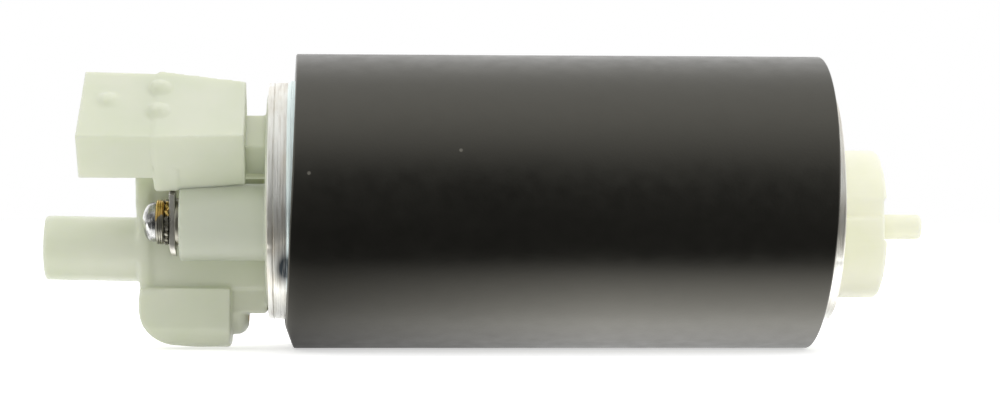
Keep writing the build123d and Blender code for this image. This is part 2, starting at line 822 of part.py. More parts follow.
plug_x = relief_end_x - relief_plug_length
with BuildPart() as relief_plug:
    with BuildSketch(across(plug_x, 0, relief_z)):
        Circle(relief_bore_r - seat_gap)
        Circle(relief_vent_r, mode=Mode.SUBTRACT)
    extrude(amount=relief_plug_length)
relief_plug.part.label = "relief_plug"
export_step(relief_plug.part, "parts/relief_plug.step")

ball_seat_x = ball_x + math.sqrt(relief_ball_r**2 - (relief_spring_r - wire_r) ** 2) + rest_gap
relief_spring = coil(ball_seat_x, plug_x, relief_spring_r, relief_spring_turns, 0, relief_z)
relief_spring.part.label = "relief_spring"
export_step(relief_spring.part, "parts/relief_spring.step")


# Seal rings in the grooves of the cap and of the cover
cover_groove_x = cover_x + cover_flange / 2
for name, x in (("cap_seal", groove_x), ("cover_seal", cover_groove_x)):
    with BuildPart() as seal:
        with BuildSketch(Plane.XZ):
            with Locations((x, groove_r + seat_gap / 2)):
                Rectangle(ring_width, ring_height, align=(Align.CENTER, Align.MIN))
        revolve(axis=Axis.X)
    seal.part.label = name
    export_step(seal.part, f"parts/{name}.step")


# Flux ring, rolled from strip, so that it has a split along its lower side
with BuildPart() as flux_ring:
    with BuildSketch(across(skirt_end_x)):
        Circle(fit_r)
        Circle(fit_r - flux_wall, mode=Mode.SUBTRACT)
        Rectangle(flux_split, 2 * fit_r, align=(Align.CENTER, Align.MAX), mode=Mode.SUBTRACT)
    extrude(amount=outlet_plate_x - skirt_end_x)
flux_ring.part.label = "flux_ring"
export_step(flux_ring.part, "parts/flux_ring.step")

# Two arc magnets, and the spring clips that push them apart
magnet_left_x = motor_mid_x - magnet_length / 2
for name, turn in (("upper_magnet", 90), ("lower_magnet", 270)):
    with BuildPart() as magnet:
        with BuildSketch(across(magnet_left_x)):
            with BuildLine():
                outer = CenterArc((0, 0), magnet_r, turn - magnet_span / 2, magnet_span)
                inner = CenterArc((0, 0), magnet_bore_r, turn - magnet_span / 2, magnet_span)
                Line(outer @ 0, inner @ 0)
                Line(outer @ 1, inner @ 1)
            make_face()
        extrude(amount=magnet_length)
        chamfer(magnet.edges().filter_by(Axis.X), magnet_edge)
    magnet.part.label = name
    export_step(magnet.part, f"parts/{name}.step")

clip_half = math.radians((180 - magnet_span) / 2)
clip_side = (magnet_r - clip_thickness) * math.sin(clip_half) - clip_side_gap
clip_back = math.sqrt((magnet_r - clip_thickness) ** 2 - clip_side**2)
clip_front = clip_back - clip_leg
with BuildPart() as magnet_clips:
    with BuildSketch(across(motor_mid_x - clip_length / 2)):
        for facing in (1, -1):
            with BuildLine():
                FilletPolyline(
                    (facing * clip_front, clip_side * clip_taper),
                    (facing * clip_back, clip_side),
                    (facing * clip_back, -clip_side),
                    (facing * clip_front, -clip_side * clip_taper),
                    radius=clip_corner_r,
                )
            trace(line_width=clip_thickness)
    extrude(amount=clip_length)
magnet_clips.part.label = "magnet_clips"
export_step(magnet_clips.part, "parts/magnet_clips.step")


# Rotor: shaft with a flat for the impeller
with BuildPart() as rotor_shaft:
    with BuildSketch(across(shaft_left_x)):
        Circle(shaft_r)
    extrude(amount=shaft_right_x - shaft_left_x)
    chamfer(rotor_shaft.edges().filter_by(GeomType.CIRCLE), shaft_edge)
    with BuildSketch(across(pump_ring_x - flat_lead)):
        with Locations((0, shaft_r - flat_depth)):
            Rectangle(2 * shaft_r, shaft_r, align=(Align.CENTER, Align.MIN))
    extrude(amount=shaft_right_x - pump_ring_x + flat_lead, mode=Mode.SUBTRACT)
rotor_shaft.part.label = "rotor_shaft"
export_step(rotor_shaft.part, "parts/rotor_shaft.step")

# Slotted core of stacked laminations
core_x = motor_mid_x - core_length / 2
with BuildPart() as armature_core:
    with BuildSketch(across(core_x)):
        Circle(core_r)
        Circle(shaft_r, mode=Mode.SUBTRACT)
        with PolarLocations(0, core_slots):
            with Locations((core_r, 0)):
                Rectangle(2 * tooth_tip, slot_mouth, mode=Mode.SUBTRACT)
            with Locations((core_r - tooth_tip - slot_depth / 2, 0)):
                Trapezoid(slot_bottom, slot_depth, slot_side, rotation=90, mode=Mode.SUBTRACT)
    extrude(amount=core_length)
armature_core.part.label = "armature_core"
export_step(armature_core.part, "parts/armature_core.step")

# Windings: bars that fill the slots, and a bundle of turns at each end
with BuildPart() as windings:
    with BuildSketch(across(core_x - turn_overhang)):
        with PolarLocations(turn_r, core_slots):
            Trapezoid(slot_bottom - 2 * slot_lining, slot_depth - 2 * slot_lining, slot_side, rotation=90)
    extrude(amount=core_length + 2 * turn_overhang)
    for x, way in ((core_x, -1), (core_x + core_length, 1)):
        with BuildSketch(Plane.XZ):
            with Locations((x + way * (turn_overhang + seat_gap), turn_r)):
                RegularPolygon(turn_lobe_r, turn_lobe_sides)
        revolve(axis=Axis.X)
windings.part.label = "windings"
export_step(windings.part, "parts/windings.step")

# Flat commutator: copper segments on a moulded base
with BuildPart() as commutator_segments:
    with BuildSketch(across(commutator_x)):
        Circle(commutator_r)
        Circle(commutator_bore_r, mode=Mode.SUBTRACT)
        with PolarLocations(0, core_slots):
            with Locations((commutator_r / 2, 0)):
                Rectangle(commutator_r, segment_split, mode=Mode.SUBTRACT)
    extrude(amount=segment_thickness)
commutator_segments.part.label = "commutator_segments"
export_step(commutator_segments.part, "parts/commutator_segments.step")

base_x = commutator_x + segment_thickness
with BuildPart() as commutator_base:
    with BuildSketch(Plane.XZ):
        with BuildLine():
            Polyline(
                (base_x, shaft_r),
                (base_x, commutator_r),
                (base_x + base_rim, commutator_r),
                (base_x + base_shoulder, base_shoulder_r),
                (base_x + base_thickness, base_neck_r),
                (base_x + base_thickness, shaft_r),
                close=True,
            )
        make_face()
    revolve(axis=Axis.X)
commutator_base.part.label = "commutator_base"
export_step(commutator_base.part, "parts/commutator_base.step")

# Plain bushes, one in the cap and one in the outlet plate
for name, x in (("upper_bush", bush_left_x), ("lower_bush", lower_bush_x)):
    with BuildPart() as bush:
        with BuildSketch(across(x)):
            Circle(bush_r)
            Circle(shaft_r + run_gap, mode=Mode.SUBTRACT)
        extrude(amount=bush_length)
    bush.part.label = name
    export_step(bush.part, f"parts/{name}.step")


# Pump: the outlet plate carries the lower bush and one side of the fuel channel
with BuildPart() as outlet_plate:
    with BuildSketch(across(outlet_plate_x)):
        Circle(fit_r)
        Circle(shaft_r + through_gap, mode=Mode.SUBTRACT)
    extrude(amount=outlet_plate_thickness)
    with BuildSketch(across(outlet_plate_x)):
        Circle(bush_r + seat_gap)
    extrude(amount=bush_length + lower_bush_inset, mode=Mode.SUBTRACT)
    with BuildSketch(Plane.XY):
        with Locations((pump_ring_x, channel_mid_r)):
            RegularPolygon(channel_r, channel_sides)
    revolve(axis=Axis.X, revolution_arc=channel_sweep, mode=Mode.SUBTRACT)
    with BuildSketch(across(outlet_plate_x, channel_mid_r, 0)):
        Circle(port_r)
    extrude(amount=outlet_plate_thickness, mode=Mode.SUBTRACT)
outlet_plate.part.label = "outlet_plate"
export_step(outlet_plate.part, "parts/outlet_plate.step")

with BuildPart() as pump_ring:
    with BuildSketch(across(pump_ring_x)):
        Circle(fit_r)
        Circle(impeller_r + impeller_gap, mode=Mode.SUBTRACT)
    extrude(amount=pump_ring_thickness)
pump_ring.part.label = "pump_ring"
export_step(pump_ring.part, "parts/pump_ring.step")

# Impeller with straight vanes round its rim, open to both faces
impeller_x = pump_ring_x + face_gap
impeller_thickness = pump_ring_thickness - 2 * face_gap
with BuildPart() as impeller:
    with BuildSketch(across(impeller_x)):
        Circle(impeller_r)
        Circle(shaft_r + run_gap, mode=Mode.SUBTRACT)
        with Locations((0, shaft_r - flat_depth + run_gap)):
            Rectangle(2 * shaft_r, flat_depth + 2 * run_gap, align=(Align.CENTER, Align.MIN))
        with PolarLocations(impeller_r, vane_count):
            Rectangle(2 * vane_depth, vane_slot, mode=Mode.SUBTRACT)
    extrude(amount=impeller_thickness)
    with BuildSketch(across(impeller_x + (impeller_thickness - web_thickness) / 2)):
        Circle(impeller_r - web_rim)
        Circle(impeller_r - vane_depth - impeller_gap, mode=Mode.SUBTRACT)
    extrude(amount=web_thickness)
impeller.part.label = "impeller"
export_step(impeller.part, "parts/impeller.step")

# Inlet plate with the other side of the channel, its port, and the pocket of the thrust pad
with BuildPart() as inlet_plate:
    with BuildSketch(across(inlet_plate_x)):
        Circle(fit_r)
    extrude(amount=inlet_plate_thickness)
    with BuildSketch(across(inlet_plate_x)):
        Circle(pad_r + seat_gap)
    extrude(amount=pad_x + pad_thickness - inlet_plate_x, mode=Mode.SUBTRACT)
    with BuildSketch(Plane.XY):
        with Locations((inlet_plate_x, channel_mid_r)):
            RegularPolygon(channel_r, channel_sides)
    revolve(axis=Axis.X, revolution_arc=channel_sweep, mode=Mode.SUBTRACT)
    port_turn = math.radians(channel_sweep)
    port = (channel_mid_r * math.cos(port_turn), channel_mid_r * math.sin(port_turn))
    with BuildSketch(across(inlet_plate_x, *port)):
        Circle(port_r)
    extrude(amount=inlet_plate_thickness, mode=Mode.SUBTRACT)
inlet_plate.part.label = "inlet_plate"
export_step(inlet_plate.part, "parts/inlet_plate.step")

with BuildPart() as thrust_pad:
    with BuildSketch(across(pad_x)):
        Circle(pad_r)
    extrude(amount=pad_thickness)
thrust_pad.part.label = "thrust_pad"
export_step(thrust_pad.part, "parts/thrust_pad.step")


# Inlet cover: flange in the can, collar set below the axis, inlet bore and the post for the strainer
with BuildPart() as inlet_cover:
    with BuildSketch(Plane.XZ):
        with BuildLine():
            Polyline(
                (cover_x, 0),
                (cover_x, fit_r),
                (cover_groove_x - groove_half, fit_r),
                (cover_groove_x - groove_half, groove_r),
                (cover_groove_x + groove_half, groove_r),
                (cover_groove_x + groove_half, fit_r),
                (inside_right_x, fit_r),
                (inside_right_x, spigot_r),
                (cover_front_x, spigot_r),
                (cover_front_x, 0),
                close=True,
            )
        make_face()
    revolve(axis=Axis.X)
    with BuildSketch(across(cover_front_x, 0, collar_z)):
        Circle(collar_r)
    extrude(amount=collar_end_x - cover_front_x)
    chamfer(inlet_cover.edges().group_by(Axis.X)[-1], collar_edge)
    with BuildSketch(across(floor_x, 0, collar_z)):
        Circle(collar_r - collar_rim)
    extrude(amount=collar_rim_depth, mode=Mode.SUBTRACT)
    # Key way along the collar's near side
    with BuildSketch(across(cover_front_x, -collar_r, key_mid_z)):
        Rectangle(2 * key_depth, key_width)
    extrude(amount=collar_end_x - cover_front_x, mode=Mode.SUBTRACT)
    with BuildSketch(across(floor_x, post_y, post_z)):
        Circle(post_r)
    extrude(amount=post_tip_x - floor_x)
    chamfer(inlet_cover.edges().group_by(Axis.X)[-1], post_edge)
    with BuildSketch(across(cover_x)):
        Circle(fit_r - cover_wall)
    extrude(amount=inlet_chamber_depth, mode=Mode.SUBTRACT)
    with BuildSketch(across(cover_x, inlet_y, collar_z)):
        Circle(inlet_bore_r)
    extrude(amount=floor_x - cover_x, mode=Mode.SUBTRACT)
inlet_cover.part.label = "inlet_cover"
export_step(inlet_cover.part, "parts/inlet_cover.step")
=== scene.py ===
import json
import logging
import math
from collections.abc import Callable
from dataclasses import dataclass, field
from enum import Enum

import bmesh
import bpy
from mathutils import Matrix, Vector, noise


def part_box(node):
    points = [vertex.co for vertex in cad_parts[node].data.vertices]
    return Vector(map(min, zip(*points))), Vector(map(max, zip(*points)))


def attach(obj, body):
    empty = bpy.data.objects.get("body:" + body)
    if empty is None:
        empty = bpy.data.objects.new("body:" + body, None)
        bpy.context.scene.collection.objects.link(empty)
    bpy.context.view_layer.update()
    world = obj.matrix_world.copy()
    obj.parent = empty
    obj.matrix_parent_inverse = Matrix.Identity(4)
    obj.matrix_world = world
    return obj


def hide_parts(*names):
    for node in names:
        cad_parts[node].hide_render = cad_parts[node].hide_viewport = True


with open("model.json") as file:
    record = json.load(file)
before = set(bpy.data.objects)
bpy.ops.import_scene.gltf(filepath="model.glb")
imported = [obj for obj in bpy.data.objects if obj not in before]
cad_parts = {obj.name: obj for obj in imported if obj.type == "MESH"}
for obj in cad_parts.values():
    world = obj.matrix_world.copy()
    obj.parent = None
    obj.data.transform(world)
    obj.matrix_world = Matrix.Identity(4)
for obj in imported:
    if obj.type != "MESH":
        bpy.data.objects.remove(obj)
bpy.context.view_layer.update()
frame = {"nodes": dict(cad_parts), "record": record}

Rgb = Point = tuple[float, float, float]
Pair = tuple[float, float]
Profile = list[Pair]
Socket = bpy.types.NodeSocket
Node = bpy.types.Node
Piece = bpy.types.Object

log = logging.getLogger("fuel_pump")

# Places and sizes are in millimetres, save where a line says metres.
MM = 0.001
BODY = "pump_body"
# Inputs and output of a Mix node for numbers and for colours.
MIX_SOCKETS = {"FLOAT": (2, 3, 0), "RGBA": (6, 7, 2)}
WHITE = (1.0, 1.0, 1.0, 1.0)
# Stretches of a noise pattern: nearly all of it, and the upper part that makes clouds.
WHOLE: Pair = (0.3, 0.7)
CLOUDY: Pair = (0.35, 0.7)
# Slack for telling which points lie on a face.
SLACK = 0.1


def linear(rgb: Rgb) -> tuple[float, float, float, float]:
    """Turns a colour as the eye reads it, from 0 to 1, into linear light with an alpha of 1."""
    parts = [c / 12.92 if c <= 0.04045 else ((c + 0.055) / 1.055) ** 2.4 for c in rgb]
    return (*parts, 1.0)


def metres(sizes: tuple[float, ...]) -> tuple[float, ...]:
    """Turns millimetres into metres."""
    return tuple(size * MM for size in sizes)


def clamp(value: float) -> float:
    """Keeps a value between 0 and 1."""
    return max(0.0, min(1.0, value))


def beside(value: float, middle: float, reach: float) -> float:
    """Gives 1 at a middle, falling to 0 at a reach to both sides of it."""
    return max(0.0, 1.0 - abs(value - middle) / reach)


def rotated(first: float, second: float, degrees: float) -> Pair:
    """Turns a pair of coordinates about the origin."""
    cos, sin = math.cos(math.radians(degrees)), math.sin(math.radians(degrees))
    return first * cos - second * sin, first * sin + second * cos


class Wiring:
    """Adds nodes to one tree and joins their sockets."""

    def __init__(self, tree: bpy.types.NodeTree) -> None:
        """Starts with an empty tree, a material's or the world's."""
        self.tree = tree
        tree.nodes.clear()

    def feed(self, target: Socket, value: object) -> None:
        """Gives an input its value.

        Args:
            target: The input.
            value: An output, which is joined to it, or a plain value, which is set on it.
        """
        if isinstance(value, Socket):
            self.tree.links.new(value, target)
        else:
            target.default_value = value

    def put(self, node: Node, **settings: object) -> Node:
        """Sets up a node.

        Args:
            node: The node.
            **settings: Its properties, and what its inputs get, by name with spaces as underscores.

        Returns:
            The node.
        """
        for name, value in settings.items():
            if hasattr(node, name):
                setattr(node, name, value)
            else:
                self.feed(node.inputs[name.replace("_", " ")], value)
        return node

    def add(self, kind: str, *values: object, **settings: object) -> Node:
        """Adds a node.

        Args:
            kind: Its type name, without the ShaderNode prefix.
            *values: What its first inputs get, in order.
            **settings: Its properties and named inputs.

        Returns:
            The new node.
        """
        node = self.put(self.tree.nodes.new("ShaderNode" + kind), **settings)
        for target, value in zip(node.inputs, values):
            self.feed(target, value)
        return node

    def math(self, operation: str, first: Socket, *others: Socket) -> Socket:
        """Works out one value from others.

        Args:
            operation: The Math node's operation.
            first: The first value.
            *others: The others, each taken together with the result so far.

        Returns:
            The result.
        """
        result = self.add("Math", first, *others[:1], operation=operation).outputs[0]
        for other in others[1:]:
            result = self.add("Math", result, other, operation=operation).outputs[0]
        return result

    def coordinates(self, scale: Point) -> Socket:
        """Gives the object's own coordinates in metres, stretched by a factor on each axis."""
        return self.add("Mapping", self.add("TexCoord").outputs["Object"], Scale=scale).outputs[0]

    def axis(self, letter: str) -> Socket:
        """Gives the object's own coordinate along X, Y or Z, in metres."""
        return self.add("SeparateXYZ", self.add("TexCoord").outputs["Object"]).outputs[letter]

    def distance(self, place: Point, weight: Point = (1.0, 1.0, 1.0)) -> Socket:
        """Gives how far a point lies from a place.

        Args:
            place: The place.
            weight: How much a millimetre along each axis counts.

        Returns:
            The distance.
        """
        here = self.coordinates(tuple(w / MM for w in weight))
        there = tuple(p * w for p, w in zip(place, weight))
        return self.add("VectorMath", here, there, operation="DISTANCE").outputs["Value"]

    def noise(self, turns: float | Point, detail: float = 2.0) -> Socket:
        """Gives a noise pattern from 0 to 1, with one or three numbers of turns in a metre, and finer layers."""
        scale = turns if isinstance(turns, tuple) else (turns,) * 3
        return self.add("TexNoise", self.coordinates(scale), Scale=1.0, Detail=detail).outputs["Fac"]

    def remap(self, source: Socket, reach: Pair, result: Pair = (0.0, 1.0)) -> Socket:
        """Maps a stretch of a value, given by its two ends, onto another, clamped."""
        return self.add("MapRange", source, *reach, *result).outputs[0]

    def mix(self, factor: Socket, first: object, second: object, kind: str = "RGBA") -> Socket:
        """Mixes two colours or numbers.

        Args:
            factor: Share of the second one.
            first: One of them, plain or an output.
            second: The other.
            kind: RGBA for colours, FLOAT for numbers.

        Returns:
            The mixture.
        """
        node = self.add("Mix", factor, data_type=kind)
        *targets, out = MIX_SOCKETS[kind]
        for target, value in zip(targets, (first, second)):
            self.feed(node.inputs[target], linear(value) if isinstance(value, tuple) else value)
        return node.outputs[out]

    def bump(self, height: Socket, depth: float, strength: float = 1.0) -> Socket:
        """Turns a pattern into relief of a depth in metres, of which a share shows."""
        return self.add("Bump", Height=height, Distance=depth, Strength=strength).outputs["Normal"]


@dataclass(frozen=True)
class Finish:
    """A surface finish: the base of all of them."""

    name: str  # its own and its slot's in the record
    colour: Rgb  # as the eye reads it
    roughness: float  # from 0, a mirror, to 1, chalk

    def material(self) -> bpy.types.Material:
        """Makes the material, or gives the one made before.

        Returns:
            The material of this finish.
        """
        name = self.name + "_finish"
        if name in bpy.data.materials:
            return bpy.data.materials[name]
        made = bpy.data.materials.new(name)
        made.use_nodes = True
        made.diffuse_color = linear(self.colour)
        wiring = Wiring(made.node_tree)
        shader = wiring.add("BsdfPrincipled", Base_Color=linear(self.colour), Roughness=self.roughness)
        wiring.add("OutputMaterial", shader.outputs[0])
        wiring.put(shader, **self.detail(wiring))
        return made

    def detail(self, wiring: Wiring) -> dict[str, object]:
        """Gives what the shader's inputs get, by name: nothing for a plain finish."""
        return {}

    def gloss(self, wiring: Wiring, pattern: Socket, less: float, more: float) -> Socket:
        """Lets the roughness follow a pattern, from a step below its own value to a step above."""
        return wiring.remap(pattern, WHOLE, (self.roughness - less, self.roughness + more))

    def shaded(self, factor: float | Point) -> Rgb:
        """Gives the colour, made darker or lighter by one factor or one for each part."""
        factors = factor if isinstance(factor, tuple) else (factor,) * 3
        return tuple(min(1.0, c * f) for c, f in zip(self.colour, factors))


@dataclass(frozen=True)
class Rubber(Finish):
    """Moulded rubber: black, half dull, with a faint grain, wear and a few specks of dust."""

    specks: tuple[Point, ...] = ()  # places of single specks of dust
    speck_r: float = 0.22  # their radius
    dust: Rgb = (0.40, 0.39, 0.36)  # their colour
    sheen: Rgb = (1.0, 0.985, 0.925)  # colour of the gloss

    def detail(self, wiring: Wiring) -> dict[str, object]:
        """Gives the grain, the uneven dullness and the dust.

        Args:
            wiring: The material's tree.

        Returns:
            What the shader's inputs get.
        """
        wear = wiring.noise((30.0, 62.0, 62.0), 4.0)
        colour = wiring.mix(wiring.remap(wear, CLOUDY), self.colour, self.shaded(1.22))
        for place in self.specks:
            speck = wiring.remap(wiring.distance(place), (self.speck_r, self.speck_r * 1.5), (0.8, 0.0))
            colour = wiring.mix(speck, colour, self.dust)
        gloss = wiring.math("ADD", wiring.remap(wear, WHOLE, (-0.025, 0.025)),
                            self.gloss(wiring, wiring.noise(420.0, 3.0), 0.035, 0.035))
        grain = wiring.bump(wiring.noise(2400.0, 3.0), 0.000018, 0.6)
        return {"IOR": 1.8, "Specular_Tint": linear(self.sheen), "Base_Color": colour, "Roughness": gloss,
                "Normal": grain}


@dataclass(frozen=True)
class Nylon(Finish):
    """Natural nylon: milky, a little clear at its edges, with a soft moulded skin."""

    depth: float = 2.0  # how far light spreads under the skin
    clearness: float = 0.6  # share of the light that spreads there
    core: Pair | None = None  # Y and Z of the axis of a brush well, made darker for its metal showing through and as painted shade under the hood
    core_reach: Pair = (5.8, 6.8)  # distances from that axis between which that darkening fades
    core_x: Pair = (-59.9, -59.4)  # places along the pump between which it sets in
    core_and_shade_colour: Rgb = (0.765, 0.785, 0.725)  # colour of that darkening: metal showing through, and painted shade

    def detail(self, wiring: Wiring) -> dict[str, object]:
        """Gives the light under the skin, the cloudy colour, the darker brush well and the skin's faint waves.

        Args:
            wiring: The material's tree.

        Returns:
            What the shader's inputs get.
        """
        cloud = wiring.noise(95.0, 3.0)
        colour = wiring.mix(wiring.remap(cloud, (0.35, 0.68)), self.colour, self.shaded((0.975, 0.985, 0.965)))
        # Darker brush well: its metal showing through, and painted shade from the hood above.
        if self.core:
            near = wiring.remap(wiring.distance((0.0, *self.core), (0.0, 1.0, 1.0)), self.core_reach, (0.85, 0.0))
            along = wiring.remap(wiring.axis("X"), metres(self.core_x))
            colour = wiring.mix(wiring.math("MULTIPLY", near, along), colour, self.core_and_shade_colour)
        return {"IOR": 1.53, "Subsurface_Weight": self.clearness, "Subsurface_Radius": (1.0, 1.0, 0.8),
                "Subsurface_Scale": self.depth * MM, "Base_Color": colour,
                "Normal": wiring.bump(wiring.noise(800.0), 0.00002, 0.35),
                "Roughness": self.gloss(wiring, cloud, 0.05, 0.05)}


@dataclass(frozen=True)
class TurnedMetal(Finish):
    """Metal with fine marks that run round the pump's axis, as from a lathe or from rolling."""

    marks: float = 0.00001  # height of the marks in metres
    tint: Rgb = (0.80, 0.79, 0.74)  # colour of the cloudy patches
    bare: float = 1.0  # share of bare metal, not dull plating

    def detail(self, wiring: Wiring) -> dict[str, object]:
        """Gives the fine rings, the cloudy plating and the change of gloss from ring to ring.

        Args:
            wiring: The material's tree.

        Returns:
            What the shader's inputs get.
        """
        rings = wiring.noise((9000.0, 60.0, 60.0), 3.0)
        return {"Metallic": self.bare, "Base_Color": self.patches(wiring),
                "Normal": wiring.bump(rings, self.marks), "Roughness": self.gloss(wiring, rings, 0.07, 0.10)}

    def patches(self, wiring: Wiring) -> Socket:
        """Gives the cloudy colour."""
        return wiring.mix(wiring.remap(wiring.noise(160.0, 4.0), (0.4, 0.65)), self.colour, self.tint)


@dataclass(frozen=True)
class CanSteel(TurnedMetal):
    """Plated can, brushed round its ends: brown and pale streaks, a painted cool reflection on the shoulders and
    one painted dark reflection on the left end.
    """

    streak: Rgb = (0.74, 0.71, 0.66)  # colour of the duller streaks
    painted_shoulder_reflection: Rgb = (0.90, 0.96, 0.955)  # colour of the painted cool reflection on the shoulders beside the sleeve
    shoulders: Pair = (-41.75, 42.3)  # places of the two shoulders along the axis
    shoulder_reach: Pair = (0.7, 0.9)  # distances from them between which that painted reflection fades
    dark_reflection: Point = (-42.6, -16.0, -10.6)  # place of the painted dark reflection on the left end's ring
    dark_reflection_colour: Rgb = (0.15, 0.18, 0.20)  # its colour
    dark_reflection_reach: Pair = (0.91, 2.6)  # distances from its place, along the axis, between which it fades
    dark_reflection_across: float = 0.55  # its width as a share of its height

    def patches(self, wiring: Wiring) -> Socket:
        """Gives the brushed colour with its streaks, a painted cool reflection on the shoulders and a painted
        dark reflection on the left end.

        Args:
            wiring: The material's tree.

        Returns:
            The colour.
        """
        cloud = wiring.noise((240.0, 95.0, 95.0), 4.0)
        base = wiring.mix(wiring.remap(cloud, (0.42, 0.62)), self.colour, self.tint)
        fine = wiring.noise((2600.0, 130.0, 130.0), 4.0)
        base = wiring.mix(wiring.remap(fine, (0.48, 0.72), (0.0, 0.7)), base, self.streak)
        # Painted cool reflection on each shoulder, standing in for a highlight.
        for x in self.shoulders:
            away = wiring.distance((x, 0.0, 0.0), (1.0, 0.0, 0.0))
            base = wiring.mix(wiring.remap(away, self.shoulder_reach, (0.9, 0.0)), base, self.painted_shoulder_reflection)
        # Painted dark reflection on the left end's ring, with ragged edges.
        away = wiring.distance(self.dark_reflection, (1.0, self.dark_reflection_across, self.dark_reflection_across))
        ragged = wiring.remap(wiring.noise((2600.0, 150.0, 150.0), 3.0), (0.36, 0.56), (0.7, 1.0))
        dark_reflection_mask = wiring.math("MULTIPLY", wiring.remap(away, self.dark_reflection_reach, (1.0, 0.0)), ragged)
        return wiring.mix(dark_reflection_mask, base, self.dark_reflection_colour)


@dataclass(frozen=True)
class PlainMetal(Finish):
    """Metal with a fine even grain and slightly uneven colour, such as plating, wire or a casting."""

    grain: float = 0.000006  # height in metres
    grains: float = 2500.0  # grains in a metre
    shade: float = 0.88  # brightness of the darker clouds as a share of the colour's own
    clouds: float = 300.0  # clouds in a metre
    bare: float = 1.0  # share of bare metal, not dull plating

    def detail(self, wiring: Wiring) -> dict[str, object]:
        """Gives the grain, the uneven colour and the uneven gloss.

        Args:
            wiring: The material's tree.

        Returns:
            What the shader's inputs get.
        """
        cloud = wiring.noise(self.clouds, 3.0)
        base = wiring.mix(wiring.remap(cloud, CLOUDY), self.colour, self.shaded(self.shade))
        step = self.roughness * 0.2
        return {"Metallic": self.bare, "Base_Color": self.coat(wiring, base),
                "Roughness": self.gloss(wiring, cloud, step, step),
                "Normal": wiring.bump(wiring.noise(self.grains), self.grain, 0.6)}

    def coat(self, wiring: Wiring, base: Socket) -> Socket:
        """Gives the colour as it is, for a metal with nothing on it."""
        return base


@dataclass(frozen=True)
class VarnishedMetal(PlainMetal):
    """Metal locked with a ragged stripe of golden varnish."""

    varnish: Rgb = (0.84, 0.72, 0.42)  # colour of the varnish
    foot: Pair = (-2.65, -2.15)  # heights between which the stripe sets in
    top: Pair = (-0.3, 0.3)  # heights between which it ends
    ragged: float = 1.2  # how far its edges wander up and down

    def coat(self, wiring: Wiring, base: Socket) -> Socket:
        """Lays the varnish over the upper part of the stack.

        Args:
            wiring: The material's tree.
            base: The metal's colour.

        Returns:
            The colour with the stripe.
        """
        pattern = wiring.noise((900.0, 900.0, 500.0), 3.0)
        edge = wiring.math("ADD", wiring.axis("Z"),
                           wiring.remap(pattern, WHOLE, metres((-self.ragged, self.ragged))))
        stripe = wiring.math("MULTIPLY", wiring.remap(edge, metres(self.foot)),
                             wiring.remap(edge, metres(self.top), (1.0, 0.0)))
        return wiring.mix(stripe, base, self.varnish)


@dataclass(frozen=True)
class Moulding(Finish):
    """Dull moulded or pressed stuff without metal: carbon, ferrite, phenolic, acetal or resin."""

    def detail(self, wiring: Wiring) -> dict[str, object]:
        """Gives a fine grain and slightly uneven colour.

        Args:
            wiring: The material's tree.

        Returns:
            What the shader's inputs get.
        """
        cloud = wiring.noise(260.0, 4.0)
        return {"Base_Color": wiring.mix(wiring.remap(cloud, CLOUDY), self.colour, self.shaded(1.12)),
                "Roughness": self.gloss(wiring, cloud, 0.05, 0.05),
                "Normal": wiring.bump(wiring.noise(3000.0), 0.00002, 0.5)}


SLEEVE_SPECKS = ((-15.6, -22.4, 7.9), (-38.95, -23.36, 4.27))

FINISHES: dict[str, Finish] = {
    finish.name: finish
    for finish in (
        Rubber("sleeve_rubber", (0.066, 0.064, 0.056), 0.35, SLEEVE_SPECKS),
        CanSteel("can_steel", (0.95, 0.95, 0.925), 0.33, 0.00008, (0.89, 0.87, 0.82), 0.72),
        Nylon("natural_nylon", (0.885, 0.897, 0.822), 0.42, core=(-8.8, -3.4)),
        Nylon("inlet_nylon", (0.99, 0.985, 0.905), 0.42),
        PlainMetal("terminal_tin", (0.88, 0.87, 0.83), 0.34, 0.00005, 850.0, 0.8, 500.0, 0.72),
        # The screw's dark clouds at half brightness are painted reflections, standing in for its patchy chrome
        # look.
        PlainMetal("screw_steel", (0.90, 0.90, 0.89), 0.16, shade=0.5, clouds=620.0, bare=0.85),
        PlainMetal("washer_steel", (0.66, 0.65, 0.60), 0.30, bare=0.85),
        VarnishedMetal("front_washer_steel", (0.66, 0.65, 0.60), 0.30, bare=0.85),
        PlainMetal("spring_steel", (0.66, 0.66, 0.68), 0.30),
        PlainMetal("insert_brass", (0.80, 0.66, 0.36), 0.28),
        PlainMetal("bush_bronze", (0.62, 0.45, 0.25), 0.50),
        Moulding("brush_carbon", (0.11, 0.11, 0.115), 0.60),
        PlainMetal("lead_copper", (0.78, 0.48, 0.33), 0.40, 0.00004, 4000.0),
        PlainMetal("winding_copper", (0.62, 0.28, 0.14), 0.35, 0.00005, 3200.0),
        TurnedMetal("segment_copper", (0.84, 0.52, 0.36), 0.35, 0.00001, (0.80, 0.47, 0.32)),
        Moulding("base_phenolic", (0.20, 0.13, 0.09), 0.45),
        TurnedMetal("core_steel", (0.34, 0.35, 0.38), 0.45, 0.00004, (0.28, 0.29, 0.33)),
        Moulding("magnet_ferrite", (0.17, 0.17, 0.18), 0.62),
        TurnedMetal("ring_steel", (0.48, 0.49, 0.51), 0.42, 0.00001, (0.42, 0.43, 0.45)),
        PlainMetal("clip_steel", (0.52, 0.53, 0.58), 0.32),
        Rubber("seal_rubber", (0.07, 0.07, 0.07), 0.45),
        PlainMetal("plate_aluminium", (0.70, 0.71, 0.72), 0.45, 0.00002, 1800.0),
        Moulding("impeller_resin", (0.36, 0.24, 0.15), 0.45),
        TurnedMetal("shaft_steel", (0.78, 0.78, 0.79), 0.20, 0.000004, (0.74, 0.74, 0.75)),
        Moulding("valve_acetal", (0.90, 0.90, 0.86), 0.35),
    )
}

SLOTS: dict[str, str] = {part["node"]: part["material_slot"] for part in frame["record"]["subparts"]}


